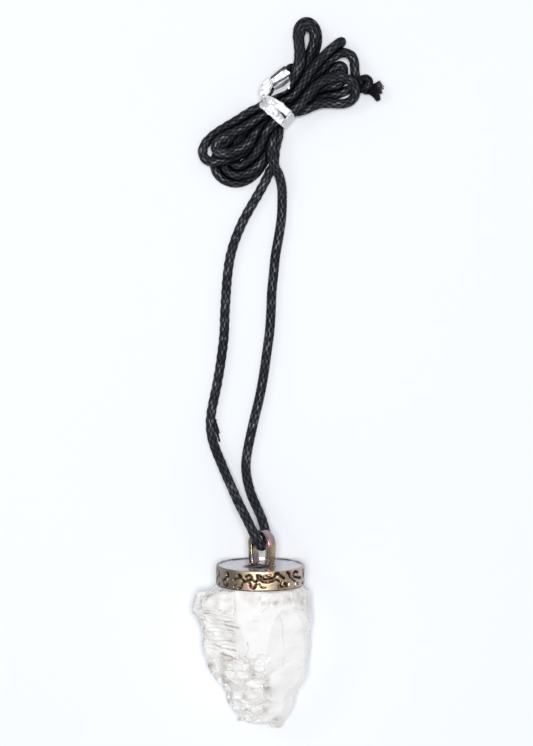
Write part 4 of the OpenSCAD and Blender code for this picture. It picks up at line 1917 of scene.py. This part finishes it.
@dataclass(frozen=True)
class BrassCap:
    """The cap: a patterned rim, a recessed disc, and the bail soldered on it."""

    place: Point = (1.85, 10.26, 9.8)
    tilt: float = 5.5
    radius: float = 9.75
    height: float = 4.4
    wall: float = 0.75
    recess_radius: float = 9.2
    recess: float = 0.2
    disc_rings: Flat = (0.35, 2.2)
    cup: float = 3.2
    cut: float = 0.32
    rim_sides: int = 600
    rim_cuts: int = 43
    edge_round: float = 0.28
    edge_drop: float = 0.2
    pattern: RimPattern = RimPattern()
    bail_shift: float = 0.35
    bail_turn: float = -43.0
    bail_radius: float = 3.25
    bail_thick: float = 1.1
    bail_band: float = 2.4
    bail_corner: float = 0.26
    foot_steps: int = 7
    arch_steps: int = 28
    arch_z: float = 8.8
    foot_narrow: float = 0.45
    foot_sink: float = 0.3
    drop_half: Point = (1.25, 1.62, 0.5)

    def matrix(self) -> Matrix:
        """From the cap's frame to the row frame, in millimetres."""
        turn = Matrix.Rotation(math.radians(self.tilt - 90.0), 4, "X")
        return Matrix.Translation(self.place) @ turn

    def bail_matrix(self) -> Matrix:
        """From the bail's frame to the row frame, in millimetres."""
        turn = Matrix.Rotation(math.radians(self.bail_turn), 4, "Z")
        return self.matrix() @ Matrix.Translation((self.bail_shift, 0.0, 0.0)) @ turn

    def on_rim(self, reach: float | Array) -> bool | Array:
        """Whether something that far from the axis is on the rim's outer side."""
        return reach > self.radius - 0.01

    def build_cup(self, rim: Material, disc: Material) -> None:
        """Turn the cup, then cut the pattern in its rim.

        Args:
            rim: The finish of the rim.
            disc: The finish of the top disc.
        """
        Work.clear()
        middle = (0, 0, self.height / 2)
        bpy.ops.mesh.primitive_cylinder_add(
            vertices=self.rim_sides, radius=self.radius, depth=self.height, location=middle
        )
        cup = Work.started("cap_rim_and_disc")
        cup.edit()
        cup.pick(Pick.FACES, lambda middle, normal: normal.z > 0.9)
        bpy.ops.mesh.inset(thickness=self.radius - self.recess_radius)
        Work.pull(0.0, -self.recess)
        for ring in self.disc_rings:
            bpy.ops.mesh.inset(thickness=ring)
        cup.pick(Pick.FACES, lambda middle, normal: normal.z < -0.9)
        bpy.ops.mesh.inset(thickness=self.wall)
        Work.pull(0.0, self.cup)
        cup.pick(Pick.EDGES, lambda middle, way: abs(way.z) > 0.9 and self.on_rim(middle.xy.length))
        bpy.ops.mesh.subdivide(number_cuts=self.rim_cuts)
        Work.leave()
        self._cut_pattern(cup)
        for face in cup.data.polygons:
            inside = face.center.xy.length < self.recess_radius + 0.02
            face.material_index = int(inside and face.center.z > self.height / 2)
        cup.place(self.matrix())
        cup.soften(32.0)
        cup.hand_over("oxidised_brass", [rim, disc], "cap_with_bail")

    def _cut_pattern(self, cup: Work) -> None:
        """Sink the pattern into the rim and round its edges.

        Args:
            cup: The cup, in the cap's own frame.
        """
        corners = cup.read("co")
        right, back, up = corners.T
        radial = np.hypot(right, back)
        rim = self.on_rim(radial)
        angle = np.arctan2(right, -back)
        deep, dark = self.pattern.depth(np.degrees(angle), up, self.radius)
        flow = np.column_stack([np.cos(angle) * self.radius, np.sin(angle) * self.radius, up])
        worn = np.clip(0.05 * (soft_noise(flow, 1.3, 11) - 0.2), 0.0, None)
        edge = np.minimum(up, self.height - up)
        rounding = self.edge_drop * (1.0 - np.clip(edge / self.edge_round, 0.0, 1.0)) ** 2
        dome = 0.05 * np.clip(1.0 - edge / (self.height / 2), 0.0, 1.0)
        sink = self.cut * deep + worn + rounding + dome
        low_line = smooth(up, 0.34, 0.12) * 0.8
        cup.mark("hollow", np.where(rim, np.maximum(dark, low_line), 0.0))
        shrink = np.where(rim, (radial - sink) / np.maximum(radial, 1e-6), 1.0)
        corners[:, :2] *= shrink[:, None]
        cup.move_corners(corners)

    def build_bail(self, finish: Material) -> None:
        """Bend the bail: a rounded strip up, over and down again.

        Args:
            finish: The brass.
        """
        reach = self.bail_radius - self.bail_thick / 2 - self.foot_narrow
        foot = self.height - self.recess - self.foot_sink
        Work.clear()
        bpy.ops.mesh.primitive_plane_add(size=1.0, location=(reach, 0, foot))
        bail = Work.started("bail", (self.bail_thick, self.bail_band, 1.0))
        bail.edit()
        bpy.ops.mesh.bevel(affect="VERTICES", offset=self.bail_corner, segments=3)
        bpy.ops.mesh.select_all(action="SELECT")
        lean, rise = self.foot_narrow / self.foot_steps, (self.arch_z - foot) / self.foot_steps
        for _ in range(self.foot_steps):
            Work.pull(lean, rise)
        centre = (0, 0, self.arch_z)
        bpy.ops.mesh.spin(steps=self.arch_steps, angle=math.pi, center=centre, axis=(0, 1, 0))
        for _ in range(self.foot_steps):
            Work.pull(lean, -rise)
        bpy.ops.mesh.select_all(action="SELECT")
        bpy.ops.mesh.remove_doubles(threshold=0.001)
        bpy.ops.mesh.normals_make_consistent(inside=False)
        Work.leave()
        bail.modify("SUBSURF", levels=2, render_levels=2)
        corners = bail.read("co")
        across = np.abs(corners[:, 1]) / (self.bail_band / 2)
        wobble = soft_noise(corners, 1.6, 4)[:, None] * np.array([0.04, 0.05, 0.03])
        corners += wobble * smooth(corners[:, 2], 4.2, 5.2)[:, None]
        bail.move_corners(corners)
        bail.mark("hollow", smooth(corners[:, 2], 5.6, 4.2) * 0.55 + 0.12 * across)
        bail.place(self.bail_matrix())
        bail.soften(60.0)
        bail.hand_over("oxidised_brass", [finish])

    def build_solder(self, finish: Material) -> None:
        """Run a drop of solder round each foot of the bail.

        Args:
            finish: The brass.
        """
        flow = bpy.data.textures.new("solder_flow", "CLOUDS")
        flow.noise_scale = 0.9
        reach = self.bail_radius - self.foot_narrow - self.bail_thick / 2
        disc = self.height - self.recess
        for number, side in enumerate((-1.0, 1.0), 1):
            Work.clear()
            bpy.ops.mesh.primitive_uv_sphere_add(
                segments=48, ring_count=24, radius=1.0, location=(side * reach, 0.0, disc - 0.05)
            )
            drop = Work.started(f"solder_{number}", self.drop_half)
            drop.modify("DISPLACE", texture=flow, strength=0.4, mid_level=0.55, texture_coords="LOCAL")
            drop.edit()
            bpy.ops.mesh.bisect(
                plane_co=(0, 0, disc - 0.1), plane_no=(0, 0, -1), use_fill=True, clear_outer=True
            )
            Work.leave()
            hollow = smooth(drop.read("co")[:, 2], self.height + 0.05, disc)
            drop.mark("hollow", hollow * 0.75)
            drop.place(self.bail_matrix())
            drop.soften(60.0)
            drop.hand_over("oxidised_brass", [finish])


# Crystal


class Stone:
    """How the broken stone's surface runs, at each of the crystal's corners."""

    def __init__(self, corners: Array) -> None:
        """Look at the stone at its corners, in millimetres, one row each."""
        self.corners = corners
        self.x, self.y, self.z = corners.T

    def noise(self, size: float, seed: int) -> Array:
        """Soft noise over the stone."""
        return soft_noise(self.corners, size, seed)

    def darker_areas(self) -> Array:
        """How much darker the crystal is made: on its left, at its broken end and in a band below the cap.

        Returns:
            From 0 where it is left as it is.
        """
        left = 0.38 * smooth(self.x, -1.6, -4.4)
        end = 0.42 * smooth(self.y, -5.0, -11.0) * smooth(self.x, 6.0, 3.0)
        below_cap = 0.28 * smooth(self.y, 4.6, 6.6)
        patch = np.clip(0.55 + 1.3 * self.noise(1.6, 51), 0.0, 1.5)
        return np.maximum(np.maximum(left, end), below_cap) * patch

    def sugar(self) -> Array:
        """Where the break is sugary: the lower middle, the left edge and the back.

        Returns:
            From 0 where it is smooth to 1.
        """
        waver = 1.1 * self.noise(3.0, 29)
        lower = smooth(self.y + waver, -3.6, -6.4) * smooth(self.x + waver, 5.6, 2.8)
        left = smooth(self.x + 0.6 * waver, -8.2, -10.6)
        back = smooth(self.z, 6.0, 3.0) * 0.8
        return np.maximum(np.maximum(lower, left), back)

    def ridges(self) -> tuple[Array, Array]:
        """The fine growth ridges across the upper left.

        Returns:
            How deep the stone is cut between them, and how dirty it is there.
        """
        pitch, crest = 0.92, 0.78
        waver = 0.5 * self.noise(2.6, 17) + 0.12 * self.noise(0.9, 18)
        phase = (self.y + 0.1 * self.x + waver) / pitch
        share = phase - np.floor(phase)
        saw = np.where(share < crest, share / crest, (1.0 - share) / (1.0 - crest))
        mask = smooth(self.x, -2.6, -4.0) * smooth(self.y, -5.2, -3.6) * smooth(self.y, 5.8, 4.6)
        mask = mask * np.clip(0.7 + 0.8 * self.noise(1.9, 23), 0.0, 1.0)
        return 0.34 * saw * mask, smooth(saw, 0.8, 1.0) * mask * 0.5

    def blocks(self) -> tuple[Array, Array]:
        """The broken, stepped areas: tilted flats of two sizes, dirt in some of the joints.

        Returns:
            How deep the stone is cut, and how dirty it is.
        """
        cos, sin = math.cos(math.radians(24.0)), math.sin(math.radians(24.0))
        along, across = self.x * cos + self.y * sin, self.y * cos - self.x * sin
        stretched = np.column_stack([along * 0.8, across * 1.2, self.z * 0.55])
        value, slope, border = broken_cells(stretched, 2.1, 5)
        small, small_slope, small_border = broken_cells(stretched, 0.95, 8)
        depth = 0.32 * value + 0.4 * slope + 0.1 * small + 0.18 * small_slope + 0.1
        dirt = self.sugar() * np.clip(0.2 + 1.3 * self.noise(1.7, 41), 0.0, 1.0)
        line = smooth(border, 0.16, 0.0) * 0.3 + smooth(small_border, 0.14, 0.0) * 0.16
        return np.clip(depth, 0.0, 0.9) * self.sugar(), line * dirt

    def ripples(self, chips: Sequence[tuple[Point, float, float, float]]) -> Array:
        """Shell-shaped ripples spreading from where chips were struck off.

        Args:
            chips: For each chip its centre, how far it reaches, its pitch and its depth.

        Returns:
            How deep the stone is cut.
        """
        total = np.zeros(len(self.corners))
        for centre, reach, pitch, deep in chips:
            away = np.linalg.norm(self.corners - np.array(centre), axis=1)
            wave = 0.5 + 0.5 * np.sin(2 * np.pi * away / pitch)
            total += deep * wave * smooth(away, reach, reach * 0.35)
        return total

    def planes(self) -> Array:
        """Large gentle swells, with a step between the ridges and the middle.

        Returns:
            How deep the stone is cut.
        """
        swell = 0.3 * self.noise(5.2, 13) + 0.14 * self.noise(2.3, 15) + 0.44
        step = 0.22 * smooth(self.x + 0.7 * self.noise(2.0, 14), -3.0, -3.8)
        step = step * smooth(self.z, 10.0, 12.0) * smooth(self.y, -6.0, -4.5)
        return np.clip(swell, 0.0, 0.85) + step

    def fine(self) -> Array:
        """Small pits, deeper where the break is sugary."""
        return 0.05 * (self.noise(0.7, 3) + 1.0) * (0.3 + 0.7 * self.sugar())


@dataclass(frozen=True)
class QuartzPoint:
    """The rough crystal: split planes, growth steps, sugary breaks and fine ridges."""

    node: str = "quartz_crystal"
    voxel: float = 0.22
    cap_axis: Flat = (1.85, 9.8)
    cap_reach: float = 9.45
    shoulder: float = 8.85
    crack_depth: float = 0.2
    end_length: float = 0.65
    outline_rows: Flat = (-22.2, 9.0)
    outline_step: float = 0.4
    axis_rows: Flat = (-21.0, -14.0)
    axis_places: Flat = (5.5, 1.8)
    left_edge: tuple[Flat, ...] = (
        (-21.2, -1.9), (-20.7, -2.2), (-19.6, -3.2), (-17.9, -4.6), (-16.6, -5.3), (-14.3, -5.9),
        (-12.9, -6.6), (-11.6, -7.8), (-9.8, -9.1), (-8.5, -9.9), (-7.6, -10), (-6.2, -10.3), (-4.7, -10.9),
        (-2.5, -10.9), (-1.2, -10.7), (-0.3, -11.2), (0.5, -11.4), (1.6, -11.7), (2.5, -12.2), (3.4, -12.8),
        (4, -13.5), (4.7, -13.4), (5.8, -13), (6.9, -12.8), (8.1, -12.4),
    )
    right_edge: tuple[Flat, ...] = (
        (-22.1, 6.7), (-20.9, 7), (-20.1, 7.7), (-18.8, 8.6), (-16.8, 9.4), (-15, 9.8), (-13.2, 10.3),
        (-10.9, 11.7), (-8.7, 12.3), (-5.6, 12.6), (-3, 12.8), (-0.3, 12.7), (0.9, 13.2), (2.7, 13.3),
        (4.5, 13.1), (6.6, 13), (8.6, 12.9),
    )
    cracks: tuple[Stroke, ...] = (
        (0.16, 0.5, ((-3.8, 7.1), (-3.4, 5.8), (-3.8, 4.2))),
        (0.1, 0.8, ((-9.8, 3.9), (-7.6, 3.8), (-5.4, 3.4), (-3.4, 3))),
        (0.1, 0.7, ((-7.6, 2.7), (-5.6, 2.3), (-4.1, 2.3))),
        (0.12, 0.9, ((-6.7, 1.6), (-5, 1.3), (-2.8, 1.1))), (0.1, 0.8, ((-5.4, 0.4), (-3.9, 0.2))),
        (0.1, 0.6, ((-5.2, -0.2), (-3.7, -0.3))), (0.22, 0.6, ((-9.6, 0.1), (-8.2, -1))),
        (0.1, 0.7, ((-6.1, -2.1), (-3.7, -2.2))), (0.12, 0.6, ((-9.6, -1.9), (-7.6, -2.3), (-6.3, -2.1))),
        (0.16, 0.9, ((-8.2, -3), (-6.1, -4), (-3.7, -4.3))),
        (0.2, 0.9, ((-6.3, -5.1), (-4.5, -5.7), (-3.7, -6.2))), (0.1, 0.6, ((-5.4, -8.8), (-4.1, -9))),
        (0.14, 0.6, ((-0.8, -2.1), (-0.5, -3.8), (-1.3, -5.1), (-1.7, -6.4))),
        (0.18, 0.8, ((-1.9, -5.6), (-0.8, -6.4), (0.5, -6))),
        (0.16, 0.7, ((-0.8, -6.4), (-0.6, -8.2), (0.5, -9.1), (1.8, -9.4))), (0.34, 1, ((-9.5, -8.2),)),
        (0.16, 0.6, ((-10.3, 3.6), (-10.1, 1.6), (-10.6, 0.1))),
        (0.14, 0.7, ((2.2, -12.1), (3.3, -13.4), (3.3, -15), (4, -16.3))), (0.14, 0.8, ((11.1, -8.7),)),
        (0.12, 0.5, ((9.4, -8.5), (10.3, -8))), (0.12, 0.4, ((5.1, 2.7), (6.1, 3.6), (6.6, 2.3))),
        (0.14, 0.5, ((9.4, 7.1), (7.2, 6.6), (5.5, 6))), (0.16, 0.6, ((10.1, 6.6), (12, 7.1), (12.7, 8.2))),
        (0.12, 0.8, ((11.2, 5.1), (12, 4.2), (12.5, 2.3), (13.1, 1))),
        (0.12, 0.5, ((9.4, 5.6), (10.9, 4.9), (12.3, 5.6))), (0.5, 0.5, ((5.2, -20.2),)),
        (0.14, 0.7, ((0.5, -20.2), (1.3, -20))), (0.12, 0.5, ((-8.9, -9.6), (-7.6, -10), (-5.6, -10.5))),
        (0.14, 0.6, ((-6.1, -12.1), (-5.2, -13))),
        (0.4, 0.35, ((-5.9, -13.2), (-5.4, -16.6), (-3.5, -19.1))), (0.1, 0.6, ((-6.7, 4.7), (-5.4, 4.5))),
        (0.14, 0.4, ((-10.9, 7.1), (-10.4, 4.5))), (0.12, 0.25, ((6.6, 2.3), (6.8, -2.1), (7, -4.7))),
        (0.12, 0.4, ((6.8, -5.8), (6.6, -7.6))), (0.16, 0.4, ((3.8, 7.5), (4, 6.2), (2.4, 4.7))),
        (0.12, 0.5, ((0.5, 2.7), (1.4, 2.5))),
    )
    veils: tuple[Stroke, ...] = (
        (0.6, 0.26, ((5.3, 6.6), (7.4, 7), (9.4, 7.2))), (1, 0.3, ((9.8, 7.6), (11.6, 6.6), (12.6, 4.4))),
        (0.3, 0.18, ((5.9, 4.2), (6.8, 4.7), (7.6, 4.4))),
        (0.4, 0.14, ((-12.4, 6.6), (-11.2, 3.6), (-10.6, 1))), (0.7, 0.24, ((-9.3, -6.4), (-8.8, -7.6))),
        (0.7, 0.18, ((2.9, -11), (3.9, -13.6))), (0.7, 0.28, ((-2.8, -5.6), (-0.8, -6.8), (0.4, -9.2))),
        (0.5, 0.12, ((-11, 7.8), (-7.5, 7.9), (-5.2, 7.2))), (1.3, 0.34, ((5.7, -20.2), (6.3, -21.6))),
        (0.5, 0.12, ((-1.6, 7.2), (1.5, 7.6), (3.2, 6.4))),
    )
    splits: tuple[tuple[Point, Point], ...] = (
        ((1, 0, 17.55), (0.03, -0.27, 0.96)), ((5.6, -12.5, 12.2), (0.42, -0.3, 0.85)),
        ((-7, 1.5, 16.6), (-0.3, 0.06, 0.95)), ((-4.6, -14, 10.6), (-0.5, -0.3, 0.8)),
        ((9.6, 5, 16.4), (0.5, 0.08, 0.86)), ((-9, -3, 2.6), (-0.62, -0.1, -0.78)),
        ((8.5, -9, 2.4), (0.5, -0.24, -0.83)), ((2, -17, 1.6), (0.05, -0.45, -0.89)),
        ((-8.6, 7, 1.4), (-0.55, 0.3, -0.78)), ((9.6, 7, 1.4), (0.55, 0.3, -0.78)),
        ((1.8, 8, 0.8), (0, 0.7, -0.71)),
    )
    chips: tuple[tuple[Point, float, float, float], ...] = (
        ((1, 12.5, 19), 6.5, 1.15, 0.16), ((13, 9, 16), 7, 0.95, 0.2), ((6, -24, 9), 6, 0.9, 0.12),
        ((-9, 4, -2), 9, 1.4, 0.2), ((10, -6, -1), 8, 1.2, 0.18),
    )

    def build(self, nodes: dict[str, Piece], finish: Material) -> None:
        """Break the crystal out of the CAD block.

        Args:
            nodes: The frame's CAD nodes.
            finish: The quartz.
        """
        block = nodes[self.node].copy()
        block.data = nodes[self.node].data.copy()
        block.name = "rough_quartz"
        block.parent = None
        for key in list(block.keys()):
            del block[key]
        block.data.materials.clear()
        bpy.context.scene.collection.objects.link(block)
        piece = Work(block)
        piece.edit()
        bpy.ops.mesh.remove_doubles(threshold=0.000001)
        for place, normal in self.splits:
            bpy.ops.mesh.select_all(action="SELECT")
            bpy.ops.mesh.bisect(
                plane_co=Vector(place) * MM, plane_no=normal, use_fill=True, clear_outer=True
            )
        Work.leave()
        piece.modify("REMESH", mode="VOXEL", voxel_size=self.voxel * MM, use_smooth_shade=True)
        self._carve(piece)
        piece.soften(32.0)
        piece.hand_over("quartz", [finish], self.node)

    def _carve(self, piece: Work) -> None:
        """Cut the surface detail inwards, fit the outline, and store where the cracks and darker areas are.

        Args:
            piece: The crystal, split and remeshed.
        """
        low, high = (np.array(corner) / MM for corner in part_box(self.node))
        corners = piece.read("co") / MM
        normals = piece.read("normal")
        stone = Stone(corners)
        body = smooth(corners[:, 1], 10.2, 9.2)
        top = smooth(normals[:, 2], -0.05, 0.4)
        ridges, ridge_line = stone.ridges()
        blocks, block_line = stone.blocks()
        cracks = drawn(corners[:, :2], self.cracks, 0.12) * top
        depth = ridges + blocks + stone.ripples(self.chips) + stone.planes() + stone.fine()
        depth = depth + self.crack_depth * cracks
        corners = corners - normals * (depth * body)[:, None]
        self._square_shoulders(corners)
        broken_end = smooth(corners[:, 1], -18.6, -20.0) * smooth(corners[:, 0], 4.4, 3.0)
        corners[:, 1] -= self.end_length * broken_end
        self._fit_outline(corners)
        corners = np.clip(corners, low, high)
        piece.move_corners(corners * MM)
        veils = drawn(corners[:, :2], self.veils, 0.6) * (1.9 + soft_noise(corners, 0.8, 33))
        line = np.maximum(np.maximum(ridge_line + block_line, cracks), veils * top)
        # The crystal is made darker on its left, at its broken end and in a band below the cap.
        line = np.clip(line + Stone(corners).darker_areas(), 0.0, 1.0) * body
        piece.mark("crack_and_darkening", line)

    def _square_shoulders(self, corners: Array) -> None:
        """Keep the shoulders outside the cap's round below the cap's edge.

        Args:
            corners: The crystal's corners, which are moved.
        """
        x, y, z = corners.T
        cap_x, cap_z = self.cap_axis
        slant = 0.12 * np.clip(cap_z - z, 0.0, None) + 0.16 * np.clip(-8.0 - x, 0.0, None)
        away = np.hypot(x - cap_x, z - cap_z)
        outside = smooth(away, self.cap_reach, self.cap_reach + 0.25)
        corners[:, 1] -= np.clip(y - self.shoulder + slant, 0.0, None) * outside

    def _fit_outline(self, corners: Array) -> None:
        """Push the sides out or in until the crystal's outline from above is right.

        Args:
            corners: The crystal's corners, which are moved.
        """
        x, y, _ = corners.T
        rows = np.arange(*self.outline_rows, self.outline_step)
        axis, row_axis = (np.interp(place, self.axis_rows, self.axis_places) for place in (y, rows))
        number = np.clip(np.digitize(y, rows + self.outline_step / 2), 0, len(rows) - 1)
        share = smooth(y, 9.5, 8.8)
        for sign, edge in ((-1.0, self.left_edge), (1.0, self.right_edge)):
            reach = np.full(len(rows), 0.1)
            np.maximum.at(reach, number, sign * (x - axis))
            even = np.convolve(np.pad(reach, 2, "edge"), np.array([1, 2, 3, 2, 1]) / 9, "valid")
            factor = sign * (np.interp(rows, *np.array(edge).T) - row_axis) / even
            grow = 1.0 + (np.interp(y, rows, np.clip(factor, 0.6, 1.35)) - 1.0) * share
            corners[:, 0] = np.where(sign * (x - axis) > 0, axis + (x - axis) * grow, x)


# Making it all


def main() -> None:
    """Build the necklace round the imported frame."""
    logging.basicConfig(level=logging.INFO, format="%(name)s: %(message)s")
    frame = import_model()
    effects = Effects()

    studio = Studio(effects)
    studio.set_camera()
    studio.lay_floor()
    studio.light()

    cotton = WaxedCotton("waxed_cotton", effects)
    # The knot's cotton: darker crowns, and a dimmer grey of worn wax with painted highlights.
    knot_tones = {"crown": (0.016, 0.016, 0.022, 1.0), "wax_and_highlight": (0.12, 0.11, 0.14, 1.0)}
    knot_cotton = WaxedCotton("knot_cotton", effects, **knot_tones)
    loose = FrayedCotton("frayed_cotton", effects).make()
    knot = EndKnot()
    friends = [
        knot.build_turns(knot_cotton.make()),
        knot.build_frayed(loose),
        knot.build_core(loose),
        knot.build_snag(loose),
        *FoilTie().build(SilveryFoil("silvery_foil", effects).make()),
    ]
    FoldedCord().build(cotton.make(), friends)

    rim_brass = OldBrass("rim_brass", effects, rough=0.42)
    disc_brass = OldBrass(
        "disc_brass",
        effects,
        metal=(0.515, 0.51, 0.565, 1.0),
        rose=(0.55, 0.5, 0.52, 1.0),
        violet=(0.45, 0.44, 0.51, 1.0),
        rough=0.2,
        patch=160.0,
        shaded_sides=False,
        stained_and_shaded=True,
    )
    bail_brass = OldBrass(
        "bail_brass",
        effects,
        metal=(0.42, 0.35, 0.24, 1.0),
        rose=(0.70, 0.33, 0.40, 1.0),
        violet=(0.30, 0.24, 0.29, 1.0),
        rough=0.24,
        shaded_sides=False,
    ).make()
    cap = BrassCap()
    cap.build_cup(rim_brass.make(), disc_brass.make())
    cap.build_bail(bail_brass)
    cap.build_solder(bail_brass)
    QuartzPoint().build(frame["nodes"], RoughQuartz("rough_quartz", effects).make())


if __name__ == "__main__":
    main()
